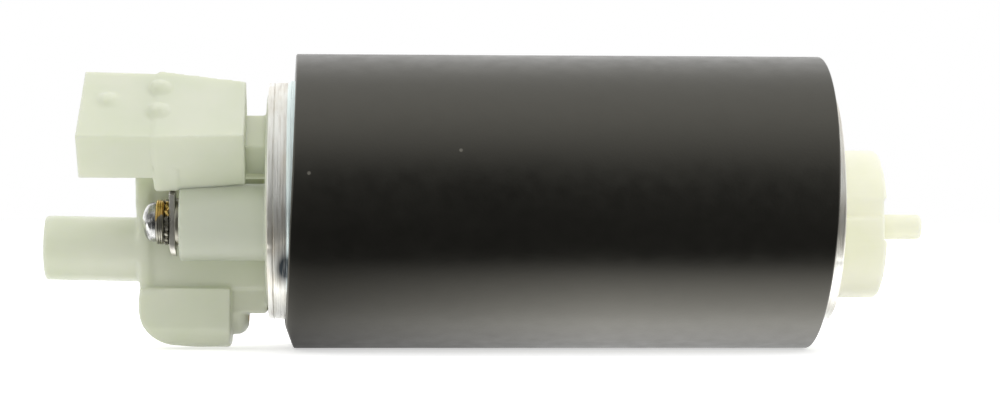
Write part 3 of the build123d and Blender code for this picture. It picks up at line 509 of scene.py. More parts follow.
def stand(name: str, data: bpy.types.ID, place: Point) -> Piece:
    """Puts a camera or a lamp into the scene.

    Args:
        name: Its name.
        data: The camera or lamp.
        place: Where it stands.

    Returns:
        Its object.
    """
    piece = bpy.data.objects.new(name, data)
    piece.location = metres(place)
    bpy.context.scene.collection.objects.link(piece)
    return piece


@dataclass
class Camera:
    """The photograph's camera: level with the pump, near its left end, and turned a little to the right."""

    place: Point = (-33.27, -451.26, -0.395)  # where the camera stands
    turn: float = 0.0552  # how far it looks to the right of straight ahead, in radians
    roll: float = 0.0028  # how far it leans to its left, in radians
    lens: float = 100.32
    sensor: float = 36.0
    clip: Pair = (0.01, 20.0)  # distances in metres between which it sees

    def build(self) -> None:
        """Makes the camera and sets it as the scene's own."""
        data = bpy.data.cameras.new("photo_camera")
        data.sensor_width, data.lens = self.sensor, self.lens
        data.clip_start, data.clip_end = self.clip
        camera = stand("photo_camera", data, self.place)
        camera.rotation_euler = (math.pi / 2, -self.roll, -self.turn)
        bpy.context.scene.camera = camera


@dataclass
class Softbox:
    """A rectangular lamp with a diffuser, which glossy surfaces don't mirror."""

    name: str
    place: Point
    aim: Point  # the point that it faces
    size: Pair  # width and height
    level: float  # brightness of its face, where 1 is white

    def build(self) -> None:
        """Makes the lamp."""
        data = bpy.data.lights.new(self.name, "AREA")
        data.shape = "RECTANGLE"
        data.size, data.size_y = metres(self.size)
        data.energy = self.level * math.pi * data.size * data.size_y
        lamp = stand(self.name, data, self.place)
        away = Vector(self.place) - Vector(self.aim)
        lamp.rotation_euler = away.to_track_quat("Z", "Y").to_euler()
        lamp.visible_camera = lamp.visible_glossy = False


@dataclass
class Studio:
    """White surroundings with soft lamps over a plain pale floor."""

    floor_z: float = -23.8
    floor_size: float = 6000.0
    paper: Rgb = (0.96, 0.96, 0.96)
    front: float = 0.30  # level of the light from the horizon on the camera's side
    back: float = 0.80  # level of the light from the backdrop
    top: float = 0.95  # level of the light from above
    lift: Pair = (0.05, 0.75)  # upward shares of a direction between which the light from above sets in
    dark: float = 0.015  # what glossy surfaces mirror at the horizon on the camera's side
    ceiling: float = 1.05  # brightness of the mirrored ceiling
    above: Pair = (0.34, 0.95)  # upward shares between which that ceiling turns from dark to white
    wall: float = 1.1  # brightness of the mirrored walls at the pump's ends
    beside: Pair = (0.25, 0.60)  # shares along X between which those walls set in
    behind: Pair = (0.05, 0.50)  # shares along Y between which the backdrop sets in
    backdrop: float = 1.3  # brightness of the mirrored backdrop
    floor_glow: float = 0.55  # share of the floor's white that the camera sees without light
    table_glow: float = 0.11  # light that comes up from the floor, as from a light table
    gleam: Pair = (0.62, 2.5)  # mirrored brightness of the floor beside the pump, at its left and right end
    gleam_x: Pair = (-44.0, 8.0)  # places along X of those two
    gleam_end: Pair = (-45.5, -40.5)  # places along X between which it fades at the can's left end
    gleam_reach: Pair = (13.0, 36.0)  # distances from the axis between which it fades
    gleam_far: float = 0.02  # share of it that is left beyond
    gleam_under: Pair = (4.0, 12.0)  # distances from the axis between which it grows under the pump
    gleam_least: float = 0.42  # share of it right under the pump
    lamps: tuple[Softbox, ...] = (
        Softbox("top_lamp", (0.0, 60.0, 380.0), (0.0, 0.0, 0.0), (420.0, 200.0), 1.2),
        Softbox("front_lamp", (-60.0, -620.0, 120.0), (0.0, 0.0, 0.0), (520.0, 380.0), 0.3),
        Softbox("right_lamp", (420.0, -260.0, 80.0), (52.0, 0.0, -3.0), (260.0, 260.0), 1.55),
    )

    def build(self) -> None:
        """Makes the world, the floor and the lamps."""
        bpy.context.scene.view_settings.view_transform = "Standard"
        self.light_world()
        self.lay_floor()
        for lamp in self.lamps:
            lamp.build()

    def light_world(self) -> None:
        """Sets a white background, soft light round the pump, and what glossy surfaces mirror."""
        world = bpy.data.worlds.new("studio")
        world.use_nodes = True
        bpy.context.scene.world = world
        wiring = Wiring(world.node_tree)
        path = wiring.add("LightPath").outputs
        x, y, z = wiring.add("SeparateXYZ", wiring.add("TexCoord").outputs["Generated"]).outputs
        light = wiring.math("MAXIMUM", wiring.remap(z, self.lift, (self.front, self.top)),
                            wiring.remap(y, self.behind, (self.front, self.back)))
        mirrored = wiring.math("MAXIMUM", wiring.remap(z, self.above, (self.dark, self.ceiling)),
                               wiring.remap(y, self.behind, (self.dark, self.backdrop)),
                               wiring.remap(wiring.math("ABSOLUTE", x), self.beside, (self.dark, self.wall)))
        seen = wiring.math("MAXIMUM", path["Is Glossy Ray"], path["Is Transmission Ray"])
        level = wiring.mix(seen, light, mirrored, "FLOAT")
        strength = wiring.mix(path["Is Camera Ray"], level, 1.0, "FLOAT")
        wiring.add("OutputWorld", wiring.add("Background", Color=WHITE, Strength=strength).outputs[0])

    def lay_floor(self) -> None:
        """Lays the floor that the pump rests on: white to the camera, with the pump's shadow on it."""
        bpy.ops.object.select_all(action="DESELECT")
        bpy.ops.mesh.primitive_plane_add(size=self.floor_size * MM, location=(0.0, 0.0, self.floor_z * MM))
        floor = bpy.context.active_object
        bpy.ops.object.transform_apply()
        floor.name = "floor"
        material = bpy.data.materials.new("floor_paper")
        material.use_nodes = True
        wiring = Wiring(material.node_tree)
        path = wiring.add("LightPath").outputs
        paper = wiring.add("BsdfDiffuse", Color=linear(self.paper)).outputs[0]
        glow = wiring.mix(path["Is Camera Ray"], self.table_glow, self.floor_glow, "FLOAT")
        shine = wiring.add("Emission", Color=WHITE, Strength=glow).outputs[0]
        gleam = wiring.add("Emission", Color=WHITE, Strength=self.gleaming(wiring)).outputs[0]
        lit = wiring.add("AddShader", paper, shine).outputs[0]
        shown = wiring.add("MixShader", path["Is Glossy Ray"], lit, gleam).outputs[0]
        wiring.add("OutputMaterial", shown)
        floor.data.materials.append(material)

    def gleaming(self, wiring: Wiring) -> Socket:
        """Gives the floor's brightness as glossy surfaces mirror it: bright beside the pump, then dark.

        Args:
            wiring: The floor material's tree.

        Returns:
            The brightness.
        """
        along = wiring.math("MAXIMUM", wiring.remap(wiring.axis("X"), metres(self.gleam_x), self.gleam),
                            wiring.remap(wiring.axis("X"), metres(self.gleam_end), (self.gleam[1], 0.0)))
        away = wiring.math("ABSOLUTE", wiring.axis("Y"))
        across = wiring.remap(away, metres(self.gleam_reach), (1.0, self.gleam_far))
        under = wiring.remap(away, metres(self.gleam_under), (self.gleam_least, 1.0))
        return wiring.math("MULTIPLY", along, across, under)


class Side(Enum):
    """Which of the two brushes a piece serves: the one towards the camera or the one behind."""

    FRONT = "front"
    REAR = "rear"


def choose(piece: Piece) -> None:
    """Makes a piece the only selected and active object.

    Args:
        piece: The piece.
    """
    bpy.ops.object.select_all(action="DESELECT")
    piece.select_set(True)
    bpy.context.view_layer.objects.active = piece


def modify(piece: Piece, kind: str, **settings: object) -> None:
    """Adds a modifier to a piece and applies it.

    Args:
        piece: The piece.
        kind: The modifier's type.
        **settings: Its properties.
    """
    modifier = piece.modifiers.new(kind.lower(), kind)
    for name, value in settings.items():
        setattr(modifier, name, value)
    choose(piece)
    bpy.ops.object.modifier_apply(modifier=modifier.name)


def smooth(piece: Piece, degrees: float) -> None:
    """Shades a piece smoothly, with creases where its faces meet more sharply than an angle."""
    choose(piece)
    bpy.ops.object.shade_smooth_by_angle(angle=math.radians(degrees))


def reshape(piece: Piece, move: Callable[[Point], Point | None]) -> None:
    """Moves a piece's points.

    Args:
        piece: The piece.
        move: Takes a point's place and gives its new one, or None where it stays.
    """
    for vertex in piece.data.vertices:
        place = move(tuple(vertex.co / MM))
        if place:
            vertex.co = Vector(place) * MM


def soften(piece: Piece, place: Point, radius: float, passes: int) -> None:
    """Smooths a piece near one place only, as a worn mould leaves a small feature.

    Args:
        piece: The piece.
        place: The place.
        radius: How far the smoothing reaches.
        passes: How often it is done.
    """
    centre = Vector(place) * MM
    mesh = bmesh.new()
    mesh.from_mesh(piece.data)
    near = [v for v in mesh.verts if (v.co - centre).length < radius * MM]
    for _ in range(passes):
        bmesh.ops.smooth_vert(mesh, verts=near, factor=0.5, use_axis_x=True, use_axis_y=True, use_axis_z=True)
    mesh.to_mesh(piece.data)
    mesh.free()


def copy_of(node: str, name: str) -> Piece:
    """Copies a CAD node's mesh into a new piece, with its loose triangles merged.

    Args:
        node: The node's name.
        name: The new piece's name.

    Returns:
        The new piece.
    """
    mesh = frame["nodes"][node].data.copy()
    mesh.name = name
    mesh.materials.clear()
    piece = bpy.data.objects.new(name, mesh)
    bpy.context.scene.collection.objects.link(piece)
    choose(piece)
    bpy.ops.mesh.customdata_custom_splitnormals_clear()
    bpy.ops.object.mode_set(mode="EDIT")
    bpy.ops.mesh.select_all(action="SELECT")
    bpy.ops.mesh.remove_doubles(threshold=0.000002)
    bpy.ops.mesh.dissolve_limited(angle_limit=math.radians(0.5))
    bpy.ops.object.mode_set(mode="OBJECT")
    return piece


def block(place: Point, size: Point, turn: Point) -> Piece:
    """Makes a block to join to a piece or to cut it with.

    Args:
        place: Its middle.
        size: Its sizes before it is turned.
        turn: Degrees by which it is turned about each axis.

    Returns:
        The block.
    """
    bpy.ops.object.select_all(action="DESELECT")
    bpy.ops.mesh.primitive_cube_add(size=1.0, location=metres(place), scale=metres(size),
                                    rotation=[math.radians(angle) for angle in turn])
    bpy.ops.object.transform_apply()
    return bpy.context.active_object


def hand_over(piece: Piece, node: str, finish: str = "") -> None:
    """Dresses a piece, lets it ride with the pump's body, and lets it stand for a CAD node.

    Args:
        piece: The finished piece.
        node: The CAD node that it stands for.
        finish: Name of the finish, where it isn't the slot's own.
    """
    slot = SLOTS[node]
    piece.data.materials.clear()
    piece.data.materials.append(FINISHES[finish or slot].material())
    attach(piece, BODY)
    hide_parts(node)
    piece.data.calc_loop_triangles()
    log.info("%s stands for %s with %d triangles", piece.name, node, len(piece.data.loop_triangles))


@dataclass
class Lathe:
    """Turns profiles about an axis that runs along X."""

    y: float = 0.0  # place of the axis along Y
    z: float = 0.0  # height of the axis
    steps: int = 128  # number of segments round it

    def turn(self, name: str, profile: Profile, closed: bool = True) -> Piece:
        """Turns a profile into a piece, by extruding and widening a circle from one point to the next.

        Args:
            name: The piece's name.
            profile: Points of the profile, each its place along X and its radius.
            closed: True for a ring, whose last point joins its first; False for a solid, which starts with a
                flat end and ends on the axis.

        Returns:
            The new piece.
        """
        (x, radius), rest = profile[0], profile[1:]
        bpy.ops.object.select_all(action="DESELECT")
        bpy.ops.mesh.primitive_circle_add(
            vertices=self.steps, radius=radius * MM, fill_type="NOTHING" if closed else "NGON",
            location=metres((x, self.y, self.z)), rotation=(0.0, math.pi / 2, 0.0))
        piece = bpy.context.active_object
        piece.name = piece.data.name = name
        bpy.ops.object.transform_apply()
        bpy.ops.object.mode_set(mode="EDIT")
        bpy.ops.mesh.select_mode(type="VERT" if closed else "FACE")
        bpy.ops.mesh.select_all(action="SELECT")
        for next_x, next_radius in rest + ([profile[0]] if closed else []):
            bpy.ops.mesh.extrude_region_move(TRANSFORM_OT_translate={"value": ((next_x - x) * MM, 0.0, 0.0)})
            if abs(next_radius - radius) > 1e-6:
                widen = next_radius / radius
                bpy.ops.transform.resize(value=(1.0, widen, widen),
                                         center_override=metres((next_x, self.y, self.z)))
            x, radius = next_x, next_radius
        if not closed:
            bpy.ops.mesh.merge(type="CENTER")
            bpy.ops.mesh.select_mode(type="VERT")
        bpy.ops.mesh.select_all(action="SELECT")
        bpy.ops.mesh.remove_doubles(threshold=0.000001)
        bpy.ops.mesh.normals_make_consistent()
        bpy.ops.object.mode_set(mode="OBJECT")
        return piece


def corner(x: float, radius: float, size: float, start: float, steps: int = 4) -> Profile:
    """Gives a rounded corner of a profile.

    Args:
        x: Place of the rounding's centre along X.
        radius: Radius at which the centre lies.
        size: Radius of the rounding.
        start: Direction of its first point in degrees, from +X towards larger radii. It goes a quarter turn
            back from there.
        steps: Number of short runs in it.

    Returns:
        The points.
    """
    turns = [math.radians(start - 90.0 * i / steps) for i in range(steps + 1)]
    return [(x + size * math.cos(t), radius + size * math.sin(t)) for t in turns]


@dataclass
class Sleeve:
    """The rubber isolator sleeve: a thick tube, pushed on askew, with one nicked corner."""

    node: str = "isolator_sleeve"
    reach: float = 42.3  # half of its length
    outer_r: float = 23.75  # outside radius
    inner_r: float = 19.45  # inside radius
    rounding: float = 0.35  # radius of its outer edges
    bore_rounding: float = 0.3  # radius of its inner edges
    lean: float = 2.3  # degrees by which its ends lean to the right at the top
    turn: float = 1.5  # degrees by which its ends turn to the right at the front
    nick: float = 1.6  # how deep the left end is worn at its lowest point
    nick_z: float = -19.6  # height at which that wear starts
    nick_reach: float = 5.0  # how far along the sleeve it fades
    # Place along Y behind which it is missing, and length over which it grows from there.
    nick_y: Pair = (15.0, 6.0)
    stretch: float = 0.2  # how much further its right end reaches
    waves: float = 0.05  # how far the wall dips
    wave_turns: Point = (0.05, 0.09, 0.09)  # waves in a millimetre on each axis
    rings: int = 64  # number of rings of faces along it

    def build(self) -> None:
        """Makes the sleeve."""
        piece = Lathe(steps=224).turn("rubber_sleeve", self.profile())
        reshape(piece, self.place)
        smooth(piece, 50.0)
        hand_over(piece, self.node)

    def profile(self) -> Profile:
        """Gives the wall's section, from the left outer edge round to the right.

        Returns:
            The points.
        """
        out, bore = self.rounding, self.bore_rounding
        outer = [(-self.reach + out + (self.reach - out) * 2 * i / self.rings, self.outer_r)
                 for i in range(1, self.rings)]
        return (corner(-self.reach + out, self.outer_r - out, out, 180.0) + outer
                + corner(self.reach - out, self.outer_r - out, out, 90.0)
                + corner(self.reach - bore, self.inner_r + bore, bore, 0.0)
                + corner(-self.reach + bore, self.inner_r + bore, bore, -90.0))

    def place(self, at: Point) -> Point:
        """Leans the ends, wears the corner and gives the outside its faint waves.

        Args:
            at: A point's place.

        Returns:
            Its new place.
        """
        x, y, z = at
        if math.hypot(y, z) > self.outer_r - SLACK / 5:
            waves = Vector(c * turns for c, turns in zip((x, y, z), self.wave_turns))
            dip = self.waves * 0.5 * (1.0 + noise.noise(waves))
            y, z = y * (1 - dip / self.outer_r), z * (1 - dip / self.outer_r)
        worn = clamp((self.nick_z - z) / (self.outer_r + self.nick_z))
        near_end = clamp((-self.reach + self.nick_reach - x) / self.nick_reach)
        facing = clamp((self.nick_y[0] - y) / self.nick_y[1])
        lean, turn = math.tan(math.radians(self.lean)), math.tan(math.radians(self.turn))
        stretch = self.stretch * max(0.0, x / self.reach)
        x += self.nick * worn * near_end * facing + stretch + z * lean - y * turn
        return x, y, z


@dataclass
class Can:
    """The plated steel can, whose ends are turned down and rolled over the two mouldings."""

    node: str = "motor_can"
    left_x: float = -45.6  # its left end
    right_x: float = 45.0  # its right end
    body_r: float = 19.4  # outside radius under the sleeve
    end_r: float = 19.05  # outside radius of the turned ends
    bore_r: float = 18.2  # inside radius
    lip_r: float = 17.2  # radius of the lips' opening
    lip: float = 0.9  # thickness of the lips
    lip_chamfer: float = 0.12  # chamfer of their inner edges
    left_band: float = 3.0  # length of the turned left end
    right_band: float = 2.0  # length of the turned right end
    shoulder: float = 0.6  # length of the step from body to end
    edge: float = 0.26  # radius of the lips' outer edges
    # Points of the line scored round the left end, each its place beside the lip and its depth.
    score: tuple[Pair, ...] = ((-0.12, 0.0), (0.0, 0.02), (0.1, 0.13), (0.22, 0.01), (0.34, 0.0))
    hidden: float = 41.0  # distance from the middle up to which the sleeve hides it
    # How uneven the rolled ends are, and their ripples in a unit round and along them.
    ripple: Point = (0.018, 4.0, 0.8)
    stakes: tuple[Point, ...] = (  # places of the punch marks on the lips
        (-45.45, -18.5, -3.75), (-45.5, -17.4, -7.5), (44.9, -16.5, -9.2), (-45.5, 12.5, 14.0))
    stake: Pair = (0.22, 0.55)  # depth and radius of a punch mark

    def build(self) -> None:
        """Makes the can."""
        piece = Lathe(steps=320).turn("steel_can", self.profile())
        reshape(piece, self.place)
        smooth(piece, 28.0)
        hand_over(piece, self.node)

    def profile(self) -> Profile:
        """Gives the wall's section, from the left lip over the outside to the right lip and back inside.

        Returns:
            The points.
        """
        left, right, chamfer = self.left_x, self.right_x, self.lip_chamfer
        left_shoulder, right_shoulder = left + self.left_band, right - self.right_band - self.shoulder
        step = [(s, 0.5 - 0.5 * math.cos(math.pi * s)) for s in (0.0, 0.2, 0.4, 0.6, 0.8, 1.0)]
        rise, rim, flat = self.body_r - self.end_r, self.end_r - self.edge, self.end_r - self.edge - 0.3
        return (
            [(left + chamfer, self.lip_r), (left, self.lip_r + chamfer), (left, self.lip_r + self.lip),
             (left, flat)]
            + corner(left + self.edge, rim, self.edge, 180.0)
            + [(left + self.lip + run, self.end_r - depth) for run, depth in self.score]
            + [(left_shoulder + s * self.shoulder, self.end_r + rise * r) for s, r in step]
            + [(x, self.body_r) for x in (-30.0, 0.0, 30.0)]
            + [(right_shoulder + s * self.shoulder, self.body_r - rise * r) for s, r in step]
            + corner(right - self.edge, rim, self.edge, 90.0)
            + [(right, flat), (right, self.lip_r + self.lip), (right, self.lip_r + chamfer),
               (right - chamfer, self.lip_r), (right - self.lip, self.lip_r), (right - self.lip, self.bore_r),
               (0.0, self.bore_r), (left + self.lip, self.bore_r), (left + self.lip, self.lip_r)])

    def place(self, at: Point) -> Point | None:
        """Leaves the rolled lips faintly uneven and presses the punch marks into them.

        Args:
            at: A point's place.

        Returns:
            Its new place, or None where it stays.
        """
        x, y, z = at
        radius = math.hypot(y, z)
        if radius < self.bore_r + SLACK / 5 or -self.hidden < x < self.hidden:
            return None
        angle = math.atan2(z, y)
        height, round_it, along = self.ripple
        spot = Vector((math.cos(angle) * round_it, math.sin(angle) * round_it, x * along))
        nearest = min((Vector((x, y, z)) - Vector(stake)).length for stake in self.stakes)
        dip = height * (1.0 + noise.noise(spot)) + self.stake[0] * max(0.0, 1.0 - nearest / self.stake[1])
        return x, y * (1 - dip / radius), z * (1 - dip / radius)


@dataclass
class SoftMoulding:
    """A nylon moulding with the soft edges of a worn mould, made from a CAD node's merged copy."""

    node: str
    name: str
    voxel: float = 0.27  # size of the grid that rounds it
    passes: int = 5  # how often its skin is smoothed
    keep: float = 0.5  # share of the triangles that is kept
    # Small features that are smoothed further, each its place, radius and passes.
    soft_spots: tuple[tuple[Point, float, int], ...] = ()

    def build(self) -> None:
        """Makes the moulding: rounded all over, then moved from where it was drawn to where it came out."""
        piece = copy_of(self.node, self.name)
        self.prepare(piece)
        modify(piece, "REMESH", mode="VOXEL", voxel_size=self.voxel * MM)
        modify(piece, "SMOOTH", factor=0.5, iterations=self.passes)
        reshape(piece, self.place)
        for place, radius, passes in self.soft_spots:
            soften(piece, place, radius, passes)
        modify(piece, "DECIMATE", ratio=self.keep)
        bpy.ops.object.shade_smooth()
        hand_over(piece, self.node)

    def prepare(self, piece: Piece) -> None:
        """Leaves the merged copy as it is, where a moulding needs nothing first."""

    def place(self, at: Point) -> Point | None:
        """Leaves every point where it is, where a moulding came out as drawn."""


@dataclass
class OutletCap(SoftMoulding):
    """The outlet end cap, whose front plate and tube came out of the mould slightly askew."""

    plate_x: float = -66.9  # place of the plate's left face
    plate_top: float = 3.8  # height from which its left face leans back
    plate_bottom: float = -13.9  # height of its foot
    plate_lean: float = 0.8  # how far the foot of the face stands back
    fade: float = 1.8  # length over which the lean fades to both sides of the face
    tip_x: float = -81.4  # place of the tube's tip
    droop: float = 0.018  # share by which the tube sinks from its tip to its root
    root: float = 2.5  # length behind the plate's face over which that ends
    relief_x: float = -48.8  # place of the relief valve housing's end
    relief_z: float = -17.3  # height of its axis
    relief_r: float = 4.2  # its radius
    relief_round: float = 1.9  # radius of its rounded end
    # Depth under its axis at which the rounding sets in, and height over which it grows.
    relief_set: Pair = (0.4, 0.6)

    def place(self, at: Point) -> Point:
        """Leans the plate's face, lets the tube droop and rounds the relief valve housing's end.

        Args:
            at: A point's place.

        Returns:
            Its new place.
        """
        x, y, z = at
        down = clamp((self.plate_top - z) / (self.plate_top - self.plate_bottom))
        near = beside(x, self.plate_x, self.fade)
        if z > self.plate_bottom - 2 * SLACK:
            x += self.plate_lean * down * near
        if x < self.plate_x:
            z -= self.droop * (x - self.tip_x)
        elif x < self.plate_x + self.root:
            z -= self.droop * (self.plate_x - self.tip_x) * (1.0 - (x - self.plate_x) / self.root)
        out = math.hypot(y, z - self.relief_z) - (self.relief_r - self.relief_round)
        if 0.0 < out < self.relief_round + SLACK and x < self.relief_x + SLACK:
            over = min(1.0, out / self.relief_round)
            end = self.relief_x - self.relief_round * (1.0 - math.sqrt(1.0 - over * over))
            below = clamp((self.relief_z - self.relief_set[0] - z) / self.relief_set[1])
            x += below * min(0.0, end - x)
        return x, y, z


@dataclass
class ConnectorShell(SoftMoulding):
    """The connector's shroud and hood, moulded slightly askew and wider than drawn."""

    lean: float = 42.0  # degrees by which the connector leans towards the camera
    hood_x: Pair = (-62.9, -49.4)  # places of the hood's left and right faces
    tip_x: float = -74.8  # place of the shroud's tip
    outer_n: float = 20.2  # distance of its outer face from the pump's axis
    hood_n: float = 9.8  # distance of the hood's inner face
    hood_drop: Pair = (0.95, 0.57)  # how far that face stands further in at its left and right end
    hood_fade: float = 0.6  # length behind the hood over which that ends
    shroud_n: float = 11.8  # distance of the shroud's inner face
    shroud_drop: float = 0.32  # how far that one stands further in
    half: float = 7.65  # half of the shroud's width
    spread: float = 0.5  # how much further its far edge reaches at the tip
    # How much further along X its tip stands, at its middle and for each millimetre across.
    skew: Pair = (0.03, 0.035)
    hood_grow: Pair = (0.5, 0.3)  # how far the hood's left and right faces stand out further
    grow_fade: Pair = (1.5, 1.2)  # lengths over which that fades, to both sides of each face
    # Place along X, across and outwards, and sizes, of a plug that closes the strap's slot.
    plug: tuple[Point, Point] = ((-60.55, -7.2, 12.0), (1.8, 1.2, 4.3))

    def prepare(self, piece: Piece) -> None:
        """Joins a block to the piece that closes the strap's slot on the side towards the camera.

        Args:
            piece: The merged copy.
        """
        (x, across, out), sizes = self.plug
        plug = block((x, *rotated(across, out, self.lean)), sizes, (self.lean, 0.0, 0.0))
        choose(piece)
        plug.select_set(True)
        bpy.ops.object.join()

    def place(self, at: Point) -> Point:
        """Moves the faces of the hood and the shroud.

        Args:
            at: A point's place.

        Returns:
            Its new place.
        """
        x, y, z = at
        left, right = self.hood_x
        across, out = rotated(y, z, -self.lean)
        tip = clamp((left - x) / (left - self.tip_x))
        if x < left:
            out -= self.shroud_drop * (self.outer_n - out) / (self.outer_n - self.shroud_n)
        else:
            back = min(1.0, (x - left) / (right - left))
            drop = self.hood_drop[0] + (self.hood_drop[1] - self.hood_drop[0]) * back
            fade = clamp(1.0 - (x - right) / self.hood_fade)
            out -= fade * drop * (self.outer_n - out) / (self.outer_n - self.hood_n)
        x += (self.skew[0] + self.skew[1] * across) * tip
        across += self.spread * max(0.0, across) / self.half * tip
        x += self.hood_grow[1] * beside(x, right, self.grow_fade[1])
        x -= self.hood_grow[0] * beside(x, left, self.grow_fade[0])
        return x, *rotated(across, out, self.lean)


@dataclass
class InletCover(SoftMoulding):
    """The inlet end cover, whose collar has a worn rim with a shallow notch in front."""

    rim_x: float = 53.2  # place of the collar's rim
    rim_back: float = 0.3  # how far the rim stands back
    notch: float = 0.45  # how far it stands back further within the notch
    notch_z: Pair = (-6.3, 0.7)  # heights of the notch's lower and upper end
    notch_fade: float = 0.4  # height over which each end fades
    fade: float = 2.6  # length over which both fade away from the rim

    def place(self, at: Point) -> Point | None:
        """Sets the rim back.

        Args:
            at: A point's place.

        Returns:
            Its new place, or None where it stays.
        """
        x, y, z = at
        if not self.rim_x - self.fade < x < self.rim_x + 2 * SLACK:
            return None
        low, high = self.notch_z
        inside = clamp(min(z - low, high - z) / self.notch_fade) if y < 0.0 else 0.0
        share = min(1.0, 1.0 - (self.rim_x - x) / self.fade)
        return x - (self.rim_back + self.notch * inside) * share, y, z


@dataclass
class TerminalStack:
    """One brush's outside connection: screw, spring washer, toothed washer, strap and seat washer."""

    side: Side  # which brush it serves
    head_r: float = 3.2  # radius of the screw's head
    head_height: float = 2.3  # height of the head
    crown: float = 0.35  # how much higher its crown is than the CAD node's
    # Directions of the crown's points, in degrees from the rim to the top.
    crown_steps: tuple[int, ...] = (0, 6, 12, 19, 26, 34, 42, 50, 58, 66, 74, 81, 87)
    band: float = 0.70  # height of the head's upright rim
    thread_r: float = 1.5  # radius of the thread
    pitch: float = 0.7  # distance between two turns of the thread
    hole_r: float = 1.6  # radius of the holes in washers
    play: Pair = (0.05, 0.1)  # how much wider the holes of the locking washers and of the seat washer are
    recess: Point = (0.7, 2.2, 1.8)  # width, span and depth of the cross recess, each arm a block
    recess_turn: float = 25.0  # degrees by which the recess is turned
    recess_taper: float = 0.45  # width of the recess's foot as a share of its mouth
    gap: Pair = (0.5, -28.0)  # width of the split washer's gap, and degrees by which it slants
    ribs: int = 3  # number of fine ribs on the split washer's rim
    tail_z: float = 3.2  # distance below the screw at which the strap's tail starts to bend
    tail_bend: Pair = (0.25, 2.2)  # how far the tail's end is bent, and the height over which it is
    tail_cuts: tuple[float, ...] = (0.0, 0.7, 1.4, 2.1)  # where the tail gets points, below that start
    press: float = 0.36  # radius of the strap's edges
    teeth: int = 18  # number of teeth of the toothed washer
    # Length of a tooth, half of its thickness, and share of the rim that is gap.
    tooth: Point = (0.75, 0.26, 0.34)
    hood_foot: float = 1.4  # height at which the front strap slips under the connector's hood
    hood_cuts: tuple[float, ...] = (-0.5, 0.01, 1.5, 3.5)  # where it gets points, above that height
    hood_y: float = -10.4  # place along Y that it keeps behind there
    hood_slope: float = 0.9  # how far that place comes forward for each millimetre of height
    y: float = field(init=False)  # place of the screw's axis along Y
    z: float = field(init=False)  # height of that axis

    def build(self) -> None:
        """Makes the five pieces."""
        low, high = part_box(self.node("terminal_screw"))
        self.y, self.z = (low.y + high.y) / 2 / MM, (low.z + high.z) / 2 / MM
        self.screw(low.x / MM - self.crown, high.x / MM)
        self.spring_washer()
        self.toothed_washer()
        self.seat_washer()
        self.strap()

    def node(self, part: str) -> str:
        """Gives the name of this side's CAD node for a part."""
        return f"{self.side.value}_{part}"

    def span(self, part: str) -> Point:
        """Gives the left end, right end and radius of a round node."""
        low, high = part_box(self.node(part))
        return low.x / MM, high.x / MM, (high.y - low.y) / 2 / MM

    def lathe(self, steps: int) -> Lathe:
        """Gives a lathe that turns about the screw's axis."""
        return Lathe(self.y, self.z, steps)

    def screw(self, left: float, right: float) -> None:
        """Makes the screw.

        Args:
            left: Place of the head's crown along X.
            right: Place of the thread's end.
        """
        head, thread, under = self.head_r, self.thread_r, left + self.head_height
        x = right - 0.4
        profile = [(right, thread - 0.45), (x, thread - 0.08)]
        while x - self.pitch > under + 0.3:
            profile += [(x - self.pitch * 0.5, thread - 0.32), (x - self.pitch, thread - 0.02)]
            x -= self.pitch
        rim = under - self.band
        profile += [(under, thread), (under, head - 0.16), (under - 0.05, head - 0.05), (under - 0.16, head),
                    (rim + 0.14, head), (rim + 0.04, head - 0.03)]
        steps = [math.radians(step) for step in self.crown_steps]
        profile += [(rim - (rim - left) * math.sin(s), (head - 0.08) * math.cos(s)) for s in steps]
        piece = self.lathe(96).turn(self.node("pan_head_screw"), profile, closed=False)
        for turn in (self.recess_turn, self.recess_turn + 90.0):
            self.cut(piece, left, turn)
        self.done(piece, "terminal_screw", 32.0)

    def cut(self, piece: Piece, left: float, turn: float) -> None:
        """Cuts one arm of the cross recess.

        Args:
            piece: The screw.
            left: Place of the head's crown along X.
            turn: Direction of the arm in degrees.
        """
        width, span, depth = self.recess
        cutter = block((left + 0.1, self.y, self.z), (depth, span, width), (turn, 0.0, 0.0))
        bpy.ops.object.mode_set(mode="EDIT")
        bpy.ops.mesh.select_mode(type="FACE")
        bpy.ops.mesh.select_all(action="DESELECT")
        bpy.ops.object.mode_set(mode="OBJECT")
        for face in cutter.data.polygons:
            face.select = face.normal.x > 0.9
        bpy.ops.object.mode_set(mode="EDIT")
        bpy.ops.transform.resize(value=(1.0, self.recess_taper, self.recess_taper),
                                 center_override=metres((left + 1.2, self.y, self.z)))
        bpy.ops.object.mode_set(mode="OBJECT")
        self.subtract(piece, cutter)

    @staticmethod
    def subtract(piece: Piece, cutter: Piece) -> None:
        """Cuts one shape out of a piece and removes the shape."""
        modify(piece, "BOOLEAN", operation="DIFFERENCE", solver="EXACT", object=cutter)
        bpy.data.objects.remove(cutter)

    def spring_washer(self) -> None:
        """Makes the split washer, with the fine lines that rolling leaves on its rim."""
        left, right, outer = self.span("spring_washer")
        edge, bore = 0.08, self.hole_r + self.play[0]
        profile = [(left, bore), (left, outer - edge), (left + edge, outer)]
        room = (right - left - 2 * edge) / self.ribs
        for i in range(self.ribs):
            start = left + edge + i * room
            profile += [(start + room * 0.55, outer), (start + room * 0.75, outer - 0.16), (start + room, outer)]
        profile += [(right, outer - edge), (right, bore)]
        piece = self.lathe(96).turn(self.node("split_washer"), profile)
        width, slant = self.gap
        cutter = block(((left + right) / 2, self.y, self.z + (self.hole_r + outer) / 2),
                       (3.2, width, outer - self.hole_r + 1.2), (0.0, 0.0, slant))
        self.subtract(piece, cutter)
        self.done(piece, "spring_washer")

